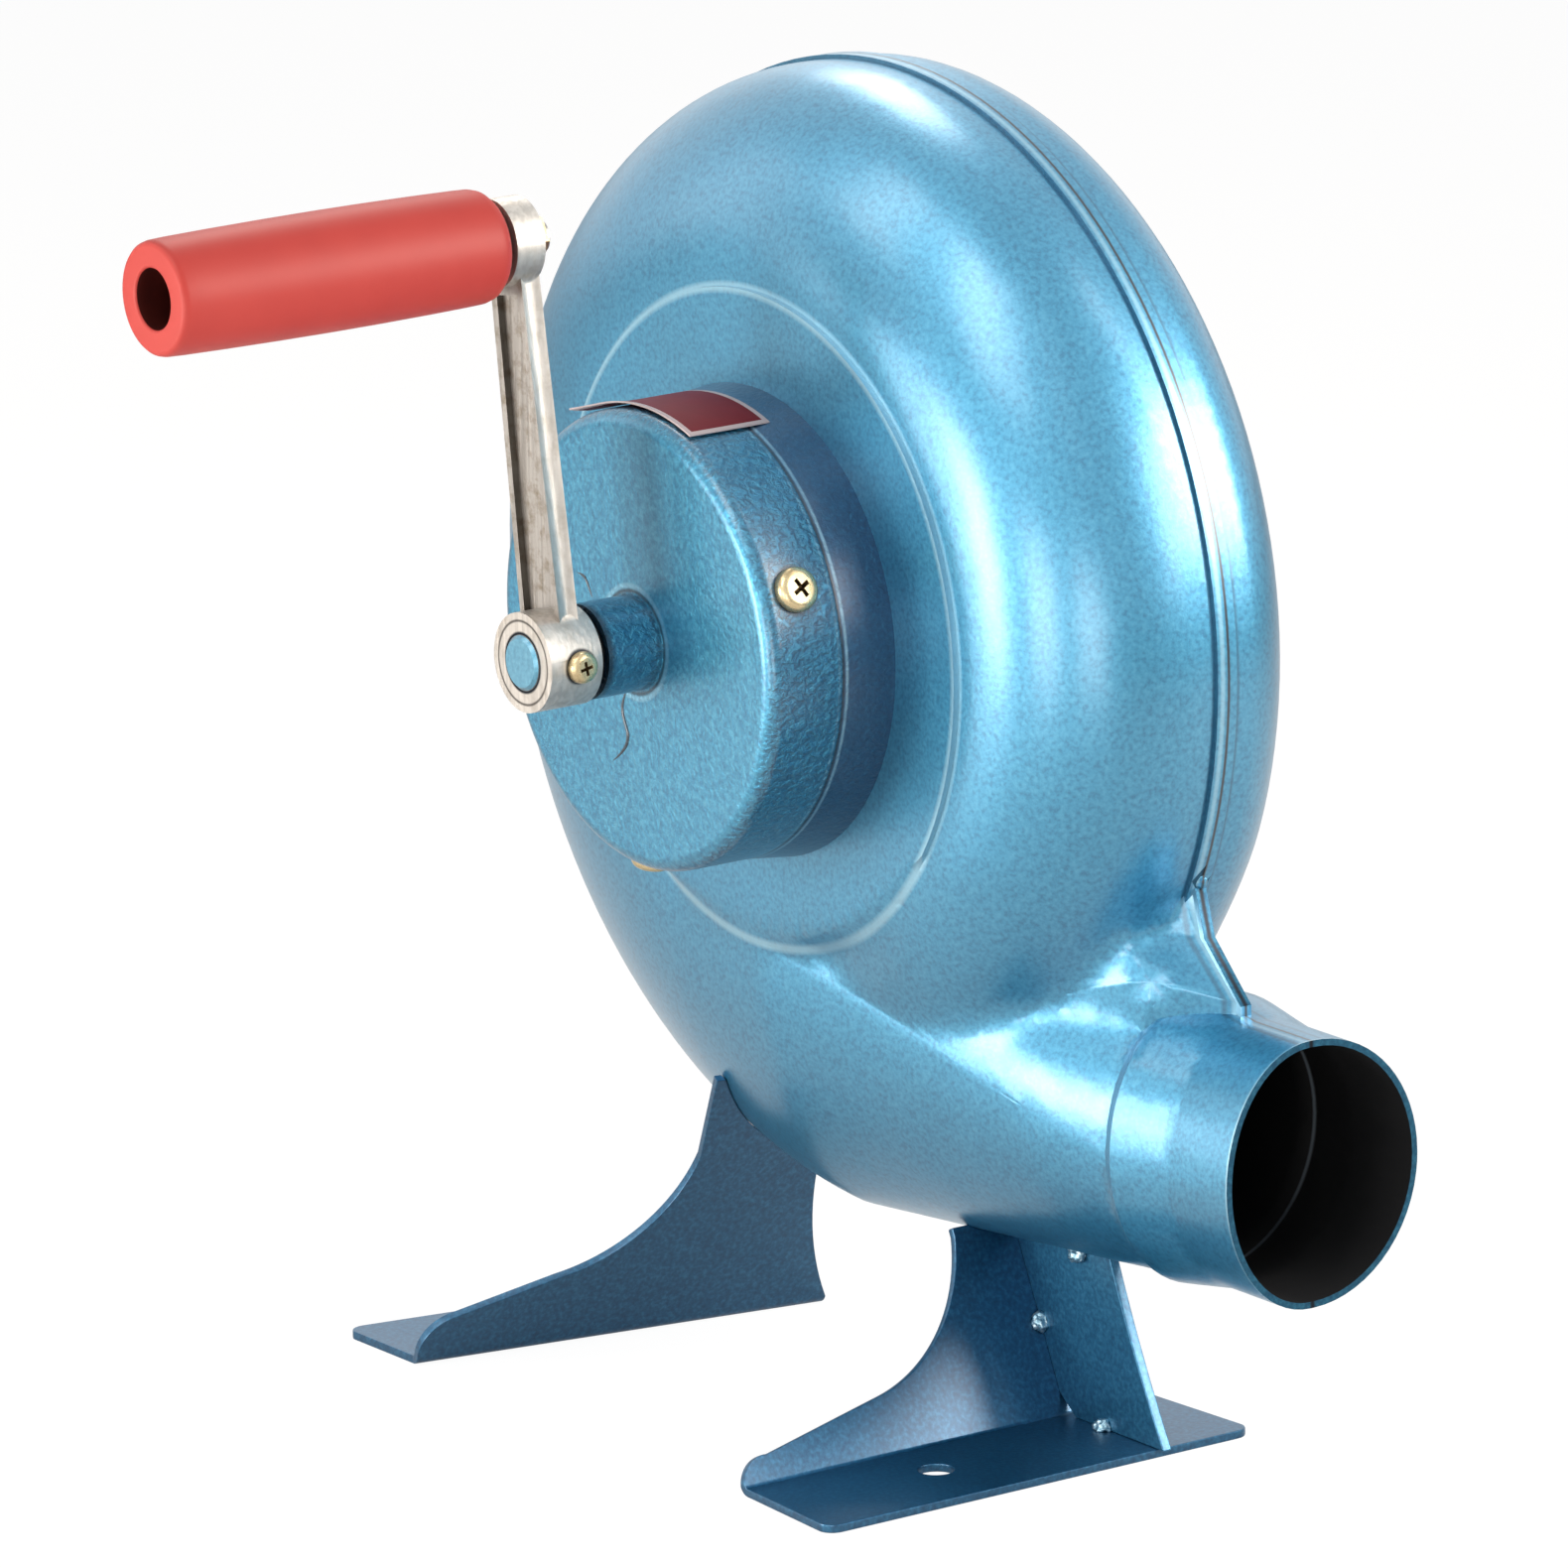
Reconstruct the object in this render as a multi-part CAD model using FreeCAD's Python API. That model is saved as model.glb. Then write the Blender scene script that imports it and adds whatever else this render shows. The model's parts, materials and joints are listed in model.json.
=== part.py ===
"""Hand crank forge blower: a stamped volute fan housing with a round spigot,
a cast gear case on its front, and a cranked handle that drives the impeller
through two spur gear stages.

Everything is built about the fan axis, which runs along Y. Minus Y is the crank
side. The joint plane of the two stamped shells is y = 0 and the fan axis is
x = 0, z = 0. save() then moves each piece to the part's own frame, whose origin
lies on the base plane, midway between the two foot holes.
"""

import FreeCAD
import Part
import os
from math import acos, cos, pi, radians, sin, sqrt, tan
from FreeCAD import Vector

os.makedirs("parts", exist_ok=True)

# ---------------------------------------------------------------- placing
past = 1.0                 # how far a cut runs past the face that it opens
axis_height = 146.5        # fan axis above the surface that the feet stand on
axis_offset = 2.0          # fan axis to the right of the middle between the foot holes
hole_line_to_joint = 40.0  # foot hole line to the joint plane of the shells

# ---------------------------------------------------------------- volute shells
sheet = 1.2                # wall of the two stamped shells
scroll_r = 92.5            # joint line's radius where the volute starts
scroll_growth = 23.5       # how much it grows on the way round to the bottom
scroll_power = 2.1         # it grows slowly first and faster towards the outlet
scroll_sections = 16       # sections that the smooth skin is drawn through
volute_start = -78.0       # angle at which the volute starts, inside the duct
start_dip = 4.0            # the volute is this much shallower there
start_blend = 45.0         # degrees over which it reaches its full depth
front_depth = 34.8         # joint plane to the front face
rear_depth = 25.0          # joint plane to the rear face
shoulder_start_r = 61.0    # where the flat face turns into the rounded shoulder
rim_straight = 4.8         # straight stretch of the wall beside the joint
core_r = 40.0              # inside here the volute's sections are left to the raised field
bead_height = 0.8          # rolled band along the joint
front_bead_width = 2.4     # width of the band on the front shell
rear_bead_width = 1.8      # and on the rear one
step_r = 60.5              # raised round field in the middle of each shell
step_height = 1.0

# ---------------------------------------------------------------- outlet
outlet_drop = 84.0         # outlet axis below the fan axis
duct_top = 42.0            # top of the duct below the fan axis where it leaves the volute
duct_swell_x = 66.0        # where the duct's side is fullest before it turns in
duct_swell = 1.4           # how much fuller than a straight taper it is there
duct_end_x = 83.0          # where the duct meets the spigot
duct_end_r = 25.8          # half height there
collar_length = 3.0        # short flare between duct and spigot
spigot_root_r = 26.8       # half height of the spigot at its root
spigot_end_x = 116.5
spigot_mouth_r = 24.5      # half height of the spigot at its mouth
spigot_straight = 16.0     # parallel length at the mouth that a hose slips over
spigot_front_depth = 19.0  # joint plane to the spigot's front, at the mouth
spigot_rear_depth = 23.7
spigot_flare = 2.6         # how much deeper the spigot is at its root
collar_step = 1.5          # height of the step round the duct's end
spigot_flat = 0.4          # straight stretch of the spigot's wall beside the joint
tongue_heel = (84.3, -36.4)    # where the web over the spigot starts on the rim
tongue_knee = (87.4, -46.9)
tongue_end = (97.8, -57.2)     # where it reaches the top of the spigot
tongue_corner = (86.0, -52.5)  # its outer corner, tongue_rise off the joint plane
tongue_foot = (60.0, -61.0)    # where it dies out, tongue_fall off the joint plane
tongue_rise = 12.0
tongue_fall = 20.0
tongue_root = 12.0         # bottom of the web above the outlet axis, inside the duct
rear_tongue_corner = (77.5, -47.0)
rear_tongue_rise = 4.0
rear_tongue_fall = 12.0
tongue_back = 1.3          # how far the inside of the web steps back, in sheet thicknesses
tongue_hidden_x = 49.0     # the web's solid starts here, inside the volute
tongue_middle = (74.0, 75.0, 81.0)  # x of the web's heel, knee and root at tongue_rise
tongue_inner = (56.0, 56.0, 60.0)   # and at tongue_fall
seam_flange_run = 12.0     # the flat seam flange starts this far above the heel
seam_flange_width = 3.5    # and stands this far out of the heel there

# ---------------------------------------------------------------- inlet
inlet_r = 28.0             # round air inlet in the rear shell
inlet_lip_length = 4.0

# ---------------------------------------------------------------- gear case
case_r = 42.0
case_wall = 3.0
base_depth = 10.6          # shell face to the case joint
cover_depth = 15.8         # case joint to the cover's front face
cover_edge_r = 3.0
base_root_r = 43.2
boss_r = 8.7
boss_length = 11.4
bearing_hub_r = 12.8
bearing_hub_reach = 6.2    # bearing hub behind the front face of the shell
lug_thick = 5.2            # lugs inside the cover that take its screws
lug_width = 10.0
lug_clearance = 0.2        # lug to the inside of the cover
lug_root = 2.0             # how far the root of a lug runs into the base's wall
layshaft_boss_wall = 1.8   # wall round the layshaft's rear bush
bush_cover = 1.0           # metal left in front of a blind bush hole
screw_pad_margin = 0.5

# ---------------------------------------------------------------- gears
module = 0.8
wheel_teeth = 40
pinion_teeth = 10
pressure_angle = 25.0
addendum = 0.95
dedendum = 1.25
flank_points = 4
backlash = 0.12
gear_width = 5.0
pinion_extra = 1.0         # pinions are this much wider than their wheels
fan_pinion_overlap = 0.25  # but the fan's pinion ends only this far behind its wheel
stage_gap = 1.3            # first wheel to the second wheel, along the shafts
layshaft_angle = -38.0     # direction of the layshaft from the fan axis

# ---------------------------------------------------------------- shafts and bearings
crank_shaft_r = 5.0
layshaft_r = 2.5
fan_shaft_r = 3.0
running_gap = 0.05         # radial gap of a journal in its bush
seat_gap = 0.02            # radial gap of a bush in its seat
end_gap = 0.3              # axial gap between turning and fixed faces
thrust_washer_thick = 0.8
crank_bush_wall = 1.6
layshaft_bush_wall = 1.5
bearing_outer_r = 9.5
bearing_width = 6.0
bearing_race = 1.9
shield_thick = 0.4         # sheet shields that close both bearings
shield_gap = 0.3           # radial, shield to inner ring
shield_inset = 0.3         # behind the bearing's face

# ---------------------------------------------------------------- impeller
impeller_r = 72.0
impeller_eye_r = 24.0
blade_count = 8
blade_sheet = 1.0
blade_width_inner = 40.0
blade_width_outer = 32.0
blade_foot = 7.0           # width of the foot that is spot welded to the disc
blade_foot_setback = 2.0   # foot to the blade's inner end
blade_foot_short = 6.0     # the foot is this much shorter than the blade
blade_tip_inset = 1.0      # blade's outer end to the disc's rim
blade_nose = (8.0, 6.0)    # corner cut off the blade at the eye
shaft_past_nut = 1.5
impeller_hub_r = 10.0
impeller_hub_length = 13.0
impeller_gap = 2.6         # bearing hub to the impeller's disc
nut_m6_across = 10.0
nut_m6_thick = 5.0

# ---------------------------------------------------------------- crank
crank_throw = 74.8
crank_lean = 8.2           # degrees to the left of upright
hub_r = 9.1
hub_length = 11.0
arm_width_low = 12.6
arm_width_high = 9.6
arm_thick = 4.0
arm_border = 1.5
arm_recess = 1.4           # depth of the channel along the arm
arm_channel_end = 1.5      # end of the channel to the eye's rim
arm_setback = 2.4          # hub's back face to the arm
set_screw_r = 2.0
set_screw_head_r = 2.9
set_screw_head_height = 1.8
set_screw_forward = 0.8    # in front of the middle of the hub's back
shaft_proud = 0.7          # shaft's end in front of the hub's face
shaft_chamfer = 0.6
thrust_washer_rim = 3.0    # width of the thrust washer's ring
eye_r = 8.0
eye_thick = 6.0
crank_washer_thick = 1.4
crank_washer_r = 7.6

# ---------------------------------------------------------------- grip
grip_length = 70.5
grip_r = 10.8
grip_bore_r = 5.5
grip_bore_depth = 40.0
grip_pin_r = 3.0
grip_chamfer = 1.0
pin_head_r = 4.8
pin_head_thick = 2.6
pin_washer_r = 6.0
pin_washer_thick = 1.0
nut_across_flats = 8.0
nut_thick = 3.2
pin_past_nut = 1.2

# ---------------------------------------------------------------- feet
foot_sheet = 1.6
foot_fold_x = 45.0         # bottom fold of the right foot to the fan axis
foot_lean = 25.0           # lean of the web from upright, in degrees
flange_width = 28.5
foot_front = -73.4         # ends of the fold, along Y
foot_rear = 17.9
foot_flare = 1.6           # the flange's outer edge is this much longer at each end
foot_corner = 3.0          # rounding of the flange's corners
foot_bend_r = 0.9
foot_toe_length = 6.5      # rounded front end of the web
foot_toe_height = 6.2      # heights of the web's outline, measured up the web
foot_heel_y = -40.0        # where the long toe turns into the neck
foot_heel_height = 11.9
foot_sweep_share = 0.35    # how tightly the concave sweep turns the corner
foot_neck_front = -15.3
foot_neck_past = 4.0       # the neck reaches this far past the volute's lowest point
foot_slit_end = -6.5       # behind here the right foot's web runs up to the shell
foot_neck_rear = 10.0
foot_rear_drop = 6.5       # top of the rear edge's curve below the neck's end
foot_rear_hollow = 2.0     # how far the rear edge's curve bows in
foot_hole_r = 3.25
foot_hole_spacing = 120.0
left_fold_lower = 4.5      # the left foot is folded this much lower: taller web
left_flange_cut = 5.0      # and has a narrower flange
left_flange_skew = 3.4     # its front edge runs this much further forward outside
left_toe_cut = 7.5         # and a shorter toe
left_neck_past = 25.0      # it reaches the volute further up
left_foot_forward = 9.4
left_foot_spread = 4.5
left_foot_toe_out = 10.0
gusset_width = 29.5
gusset_sheet = 2.0
gusset_y = -2.0
gusset_clip = 2.5          # corner left free for the bend of the foot
gusset_hollow = 0.8
weld_r = 2.2               # beads that hold the gusset
weld_on_web = 16.8         # up the web
weld_on_flange = 12.0      # along the flange
weld_on_duct = 5.0         # along the duct
weld_under_duct = 1.1      # below the duct's underside

# ---------------------------------------------------------------- fasteners
screw_r = 2.0
screw_head_r = 4.1
screw_head_height = 2.4
screw_head_chamfer = 0.9
screw_recess_width = 1.0   # cross recess in each head
screw_recess_depth = 1.2
screw_clearance = 0.25     # radial, where a screw passes through
screw_end_gap = 0.3        # end of a screw to the bottom of its hole
cover_screw_count = 3
cover_screw_angle = 22.0
cover_screw_setback = 7.6  # behind the cover's front face
case_screw_count = 3
case_screw_ring_r = 30.0
case_screw_angle = 60.0
case_screw_pad = 3.0

# ---------------------------------------------------------------- worked out
case_face_y = -(front_depth + step_height)
case_joint_y = case_face_y - base_depth
cover_front_y = case_joint_y - cover_depth
boss_front_y = cover_front_y - boss_length
centre_distance = module * (wheel_teeth + pinion_teeth) / 2
layshaft_x = centre_distance * cos(radians(layshaft_angle))
layshaft_z = centre_distance * sin(radians(layshaft_angle))


# ---------------------------------------------------------------- helpers
def save(node, shape):
    """Move a piece from the fan axis to the part's own frame and write it."""
    placed = shape.copy()
    placed.translate(Vector(axis_offset, hole_line_to_joint, axis_height))
    placed.exportStep("parts/" + node + ".step")
    print(node, len(placed.Solids), round(placed.Volume), placed.isValid())


def rod(radius, y_from, y_to, x=0.0, z=0.0):
    """Round bar along Y."""
    low = min(y_from, y_to)
    return Part.makeCylinder(radius, abs(y_to - y_from), Vector(x, low, z), Vector(0, 1, 0))


def ring(outer, inner, y_from, y_to, x=0.0, z=0.0):
    """Round tube or washer along Y."""
    low = min(y_from, y_to) - past
    high = max(y_from, y_to) + past
    return rod(outer, y_from, y_to, x, z).cut(rod(inner, low, high, x, z))


def hexagon(across_flats, y_from, y_to, x=0.0, z=0.0):
    """Hexagonal bar along Y."""
    corner = across_flats / 2 / cos(pi / 6)
    points = [Vector(x + corner * cos(k * pi / 3), y_from, z + corner * sin(k * pi / 3)) for k in range(7)]
    return Part.Face(Part.makePolygon(points)).extrude(Vector(0, y_to - y_from, 0))


def around(shape, count, first=0.0):
    """Copies of a shape spaced evenly round the fan axis."""
    copies = []
    for k in range(count):
        one = shape.copy()
        one.rotate(Vector(0, 0, 0), Vector(0, 1, 0), -(first + k * 360.0 / count))
        copies.append(one)
    return copies


# ---------------------------------------------------------------- shell forms
def profile_face(points, arcs=()):
    """Flat face bounded by straight runs; arcs maps a run's number to its middle point."""
    edges = []
    count = len(points)
    for k in range(count):
        start, end = points[k], points[(k + 1) % count]
        if k in dict(arcs):
            edges.append(Part.Arc(start, dict(arcs)[k], end).toShape())
        else:
            edges.append(Part.LineSegment(start, end).toShape())
    return Part.Face(Part.Wire(edges))


def volute_radius(angle):
    """Radius of the joint line at an angle in degrees from +X towards +Z."""
    turn = (angle - volute_start) / (270.0 - volute_start)
    return scroll_r + scroll_growth * max(0.0, turn) ** scroll_power


def quarter(centre, out, up):
    """Quarter ellipse from centre + out to centre + up."""
    if abs(out.Length - up.Length) < 1e-6:
        middle = centre + (out + up) * sqrt(0.5)
        return Part.Arc(centre + out, middle, centre + up).toShape()
    if out.Length > up.Length:
        return Part.ArcOfEllipse(Part.Ellipse(centre + out, centre + up, centre), 0, pi / 2).toShape()
    ellipse = Part.Ellipse(centre + up, centre + out, centre)
    return Part.ArcOfEllipse(ellipse, 0, pi / 2).toShape()


def joined(*parts):
    """Closed wire through edges and points, in order, with straight runs between them."""
    edges = []
    ends = []
    for part in parts:
        if isinstance(part, Vector):
            ends.append((part, part))
        else:
            vertices = [vertex.Point for vertex in part.Vertexes]
            previous = ends[-1][1]
            if vertices[0].distanceToPoint(previous) > vertices[-1].distanceToPoint(previous):
                vertices.reverse()
            ends.append((vertices[0], vertices[-1]))
            edges.append(part)
    for k in range(len(ends)):
        start, end = ends[k][1], ends[(k + 1) % len(ends)][0]
        if start.distanceToPoint(end) > 1e-7:
            edges.append(Part.LineSegment(start, end).toShape())
    return Part.Wire(Part.__sortEdges__(edges))


def scroll_section(angle, depth, wall, side, band):
    """Section of the volute at one angle: flat face, rounded shoulder, straight wall, band."""
    away = Vector(cos(radians(angle)), 0, sin(radians(angle)))
    out = Vector(0, side, 0)
    rim_r = volute_radius(angle) - bead_height - wall
    early = max(0.0, 1 - (angle - volute_start) / start_blend)
    face = depth - wall - start_dip * early ** 2
    shoulder = away * shoulder_start_r + out * rim_straight
    curve = quarter(shoulder, away * (rim_r - shoulder_start_r), out * (face - rim_straight))
    if band == 0:
        return joined(away * core_r, away * core_r + out * face, curve, away * rim_r)
    low = away * rim_r + out * band
    step = away * bead_height
    return joined(away * core_r, away * core_r + out * face, curve, low, low + step, away * rim_r + step)


def scroll(depth, wall, side, band):
    """The volute from the tongue round to the bottom, with the raised field on its face."""
    sections = []
    for k in range(scroll_sections + 1):
        angle = volute_start + (270.0 - volute_start) * k / scroll_sections
        sections.append(scroll_section(angle, depth, wall, side, band))
    body = Part.makeLoft(sections, True, False)
    return body.fuse(rod(step_r - wall, 0, side * (depth + step_height - wall)))


def duct_section(x, low_z, crest_z, high_z, depth, straight, side):
    """Half section of the duct: two quarter ellipses that meet at the crest."""
    out = Vector(0, side * (depth - straight), 0)
    centre = Vector(x, side * straight, crest_z)
    lower = quarter(centre, Vector(0, 0, low_z - crest_z), out)
    upper = quarter(centre, Vector(0, 0, high_z - crest_z), out)
    return joined(Vector(x, 0, low_z), lower, upper, Vector(x, 0, high_z))


def duct(depth, mouth_depth, wall, side):
    """Half of the outlet duct, from the bottom of the volute to the spigot's mouth."""
    low_z = -(volute_radius(270) - bead_height - wall)
    start = (low_z, -shoulder_start_r, -duct_top - wall, depth - wall, rim_straight)
    sections = [duct_section(0, *start, side)]
    stations = [
        (duct_end_x, duct_end_r, mouth_depth + spigot_flare - collar_step),
        (duct_end_x + collar_length, spigot_root_r, mouth_depth + spigot_flare),
        (spigot_end_x - spigot_straight, spigot_mouth_r, mouth_depth),
        (spigot_end_x + wall, spigot_mouth_r, mouth_depth),
    ]
    for x, half_height, half_depth in stations:
        low, high = -outlet_drop - half_height + wall, -outlet_drop + half_height - wall
        measures = (low, -outlet_drop, high, half_depth - wall, spigot_flat)
        if x == duct_end_x:
            share = duct_swell_x / duct_end_x
            full = [near + (far - near) * share for near, far in zip(start, measures)]
            full[3] += duct_swell
            sections.append(duct_section(duct_swell_x, *full, side))
        sections.append(duct_section(x, *measures, side))
    return Part.makeLoft(sections, True, True)


def tongue(wall, side, corner, rise, fall):
    """Sheet web that closes the corner between the volute and the top of the spigot."""
    back = wall * tongue_back
    heel_x, heel_z = tongue_heel
    knee_x, knee_z = tongue_knee
    end_x, end_z = tongue_end
    root_z = -outlet_drop + tongue_root
    levels = [
        (wall, (heel_x, knee_x, end_x), (end_x, end_z)),
        (rise - wall, tongue_middle, corner),
        (fall - wall, tongue_inner, tongue_foot),
    ]
    wires = []
    for off_joint, (at_heel, at_knee, at_root), ridge in levels:
        corners = [(at_heel, heel_z), (at_knee, knee_z), ridge, (at_root, root_z)]
        y = side * off_joint
        points = [Vector(x - back, y, z - back) for x, z in corners]
        points = [Vector(tongue_hidden_x, y, heel_z)] + points + [Vector(tongue_hidden_x, y, root_z)]
        wires.append(Part.makePolygon(points + points[:1]))
    return Part.makeLoft(wires, True, True)


def seam_flange(thick, side):
    """Flat edge of the sheet beside the joint, from the volute's band to the spigot."""
    heel_x, heel_z = tongue_heel
    start_z = heel_z + seam_flange_run
    root_z = -outlet_drop + tongue_root
    plan = [
        (shoulder_start_r, start_z),
        (heel_x + seam_flange_width, start_z),
        tongue_heel,
        tongue_knee,
        tongue_end,
        (tongue_end[0], root_z),
        (shoulder_start_r, root_z),
    ]
    points = [Vector(x, 0, z) for x, z in plan]
    return Part.Face(Part.makePolygon(points + points[:1])).extrude(Vector(0, side * thick, 0))


def volute(depth, mouth_depth, wall, side, web, band=0):
    """Solid inside one shell's outer surface, or inside its sheet when wall is set."""
    body = scroll(depth, wall, side, band)
    body = body.fuse(duct(depth, mouth_depth, wall, side))
    return body.fuse(tongue(wall, side, *web))


# ---------------------------------------------------------------- front shell
front_web = (tongue_corner, tongue_rise, tongue_fall)
front_outside = volute(front_depth, spigot_front_depth, 0.0, -1, front_web, front_bead_width)
front_outside = front_outside.fuse(seam_flange(sheet, -1))
front_shell = front_outside.cut(volute(front_depth, spigot_front_depth, sheet, -1, front_web))
front_shell = front_shell.cut(rod(bearing_hub_r + end_gap, case_face_y - past, 0))
case_screw_hole = rod(screw_r + seat_gap, case_face_y - past, 0, case_screw_ring_r, 0)
case_screw_holes = around(case_screw_hole, case_screw_count, case_screw_angle)
front_shell = front_shell.cut(Part.makeCompound(case_screw_holes))
save("front_shell", front_shell)

# ---------------------------------------------------------------- rear shell
rear_web = (rear_tongue_corner, rear_tongue_rise, rear_tongue_fall)
rear_outside = volute(rear_depth, spigot_rear_depth, 0.0, 1, rear_web, rear_bead_width)
rear_outside = rear_outside.fuse(seam_flange(sheet, 1))
rear_shell = rear_outside.cut(volute(rear_depth, spigot_rear_depth, sheet, 1, rear_web))
rear_face_y = rear_depth + step_height
rear_shell = rear_shell.fuse(rod(inlet_r + sheet, rear_face_y, rear_face_y - inlet_lip_length))
rear_shell = rear_shell.cut(rod(inlet_r, rear_face_y + past, rear_face_y - inlet_lip_length - past))
save("rear_shell", rear_shell)

# ---------------------------------------------------------------- stations along the shafts
cover_inner_y = cover_front_y + case_wall
thrust_front_y = cover_inner_y + end_gap
crank_gear_front_y = thrust_front_y + thrust_washer_thick
crank_gear_rear_y = crank_gear_front_y + gear_width
layshaft_gear_front_y = crank_gear_rear_y + stage_gap
layshaft_gear_rear_y = layshaft_gear_front_y + gear_width
hub_front_y = layshaft_gear_rear_y + 2 * end_gap
hub_rear_y = case_face_y + bearing_hub_reach
base_wall_y = case_face_y - case_wall
disc_front_y = hub_rear_y + impeller_gap
disc_rear_y = disc_front_y + blade_sheet
impeller_hub_rear_y = disc_rear_y + impeller_hub_length

# ---------------------------------------------------------------- gear case base
base = Part.makeCone(base_root_r, case_r, base_depth, Vector(0, case_face_y, 0), Vector(0, -1, 0))
base = base.cut(rod(case_r - case_wall, base_wall_y, case_joint_y - past))
base = base.fuse(rod(bearing_hub_r, hub_front_y, hub_rear_y))
layshaft_rear_y = layshaft_gear_rear_y + 2 * end_gap
layshaft_boss_r = layshaft_r + layshaft_bush_wall + layshaft_boss_wall
base = base.fuse(rod(layshaft_boss_r, layshaft_rear_y, base_wall_y, layshaft_x, layshaft_z))
screw_y = cover_front_y + cover_screw_setback
lug_front_y = screw_y - screw_head_r
lug_outer_r = case_r - case_wall - lug_clearance
lug_inner_r = lug_outer_r - lug_thick
for block_front_y, block_r in ((lug_front_y, lug_outer_r), (case_joint_y, lug_outer_r + lug_root / 2)):
    corner = Vector(lug_inner_r, block_front_y, -lug_width / 2)
    block = Part.makeBox(lug_thick + lug_root, base_wall_y - block_front_y, lug_width, corner)
    block = block.common(rod(block_r, block_front_y, base_wall_y))
    base = base.fuse(Part.makeCompound(around(block, cover_screw_count, cover_screw_angle)))
pad_r = screw_head_r + screw_pad_margin
pad = rod(pad_r, base_wall_y, base_wall_y - case_screw_pad, case_screw_ring_r, 0)
base = base.fuse(Part.makeCompound(around(pad, case_screw_count, case_screw_angle)))
base = base.cut(rod(fan_shaft_r + bearing_race, hub_front_y - past, hub_rear_y + past))
base = base.cut(rod(bearing_outer_r + seat_gap, hub_front_y - past, hub_front_y + bearing_width))
base = base.cut(rod(bearing_outer_r + seat_gap, hub_rear_y - bearing_width, hub_rear_y + past))
layshaft_bush_r = layshaft_r + running_gap + layshaft_bush_wall
layshaft_rear_end = case_face_y - bush_cover
rear_bush_hole_r = layshaft_bush_r + seat_gap
base = base.cut(rod(rear_bush_hole_r, layshaft_rear_y - past, layshaft_rear_end, layshaft_x, layshaft_z))
hole_start = Vector(lug_inner_r - past, screw_y, 0)
radial_hole = Part.makeCylinder(screw_r + seat_gap, case_wall + lug_thick, hole_start, Vector(1, 0, 0))
base = base.cut(Part.makeCompound(around(radial_hole, cover_screw_count, cover_screw_angle)))
screw_depth_y = base_wall_y - case_screw_pad + screw_pad_margin
blind = rod(screw_r + seat_gap, case_face_y + past, screw_depth_y, case_screw_ring_r, 0)
base = base.cut(Part.makeCompound(around(blind, case_screw_count, case_screw_angle)))
save("gear_case_base", base)

# ---------------------------------------------------------------- gear cover
cover = rod(case_r, cover_front_y, case_joint_y)
front_edges = [e for e in cover.Edges if e.BoundBox.YMax < cover_front_y + 0.01 and e.Closed]
cover = cover.makeFillet(cover_edge_r, front_edges)
cover = cover.fuse(rod(boss_r, boss_front_y, cover_front_y + past))
cover = cover.cut(rod(case_r - case_wall, cover_inner_y, case_joint_y + past))
crank_bush_r = crank_shaft_r + running_gap + crank_bush_wall
cover = cover.cut(rod(crank_bush_r + seat_gap, boss_front_y - past, cover_inner_y + past))
layshaft_front_end = cover_front_y + bush_cover
front_bush_hole_r = layshaft_bush_r + seat_gap
cover = cover.cut(rod(front_bush_hole_r, layshaft_front_end, cover_inner_y + past, layshaft_x, layshaft_z))
clear_start = Vector(case_r - 2 * case_wall, screw_y, 0)
clear_hole = Part.makeCylinder(screw_r + screw_clearance, 3 * case_wall, clear_start, Vector(1, 0, 0))
cover = cover.cut(Part.makeCompound(around(clear_hole, cover_screw_count, cover_screw_angle)))
save("gear_cover", cover)


# ---------------------------------------------------------------- fasteners of the case
def cross_screw(length, head_r, head_height, shank_r):
    """Pan head screw with a cross recess: head above the origin on +X, shank towards -X."""
    head = Part.makeCylinder(head_r, head_height, Vector(0, 0, 0), Vector(1, 0, 0))
    rim = [e for e in head.Edges if e.BoundBox.XMin > head_height - 0.01 and e.Closed]
    head = head.makeChamfer(screw_head_chamfer, rim)
    shank = Part.makeCylinder(shank_r, length, Vector(-length, 0, 0), Vector(1, 0, 0))
    corner = Vector(head_height - screw_recess_depth, -head_r / 2, -screw_recess_width / 2)
    slot = Part.makeBox(head_height, head_r, screw_recess_width, corner)
    cross = slot.copy()
    cross.rotate(Vector(0, 0, 0), Vector(1, 0, 0), 90)
    return head.fuse(shank).cut(slot).cut(cross)


cover_screw = cross_screw(case_r - lug_inner_r - screw_end_gap, screw_head_r, screw_head_height, screw_r)
cover_screw.translate(Vector(case_r, screw_y, 0))
save("cover_screws", Part.makeCompound(around(cover_screw, cover_screw_count, cover_screw_angle)))

case_screw_seat_y = case_face_y + sheet
case_screw_length = case_screw_seat_y - screw_depth_y - screw_end_gap
case_screw = cross_screw(case_screw_length, screw_head_r, screw_head_height, screw_r)
case_screw.rotate(Vector(0, 0, 0), Vector(0, 0, 1), 90)
case_screw.translate(Vector(case_screw_ring_r, case_screw_seat_y, 0))
save("case_screws", Part.makeCompound(around(case_screw, case_screw_count, case_screw_angle)))

# ---------------------------------------------------------------- bushes and bearings
crank_bush = ring(crank_bush_r, crank_shaft_r + running_gap, boss_front_y, cover_inner_y)
save("crank_bush", crank_bush)
layshaft_bore_r = layshaft_r + running_gap
for node, bush_from, bush_to in (
    ("layshaft_front_bush", layshaft_front_end, cover_inner_y),
    ("layshaft_rear_bush", layshaft_rear_y, layshaft_rear_end),
):
    save(node, ring(layshaft_bush_r, layshaft_bore_r, bush_from, bush_to, layshaft_x, layshaft_z))

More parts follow.
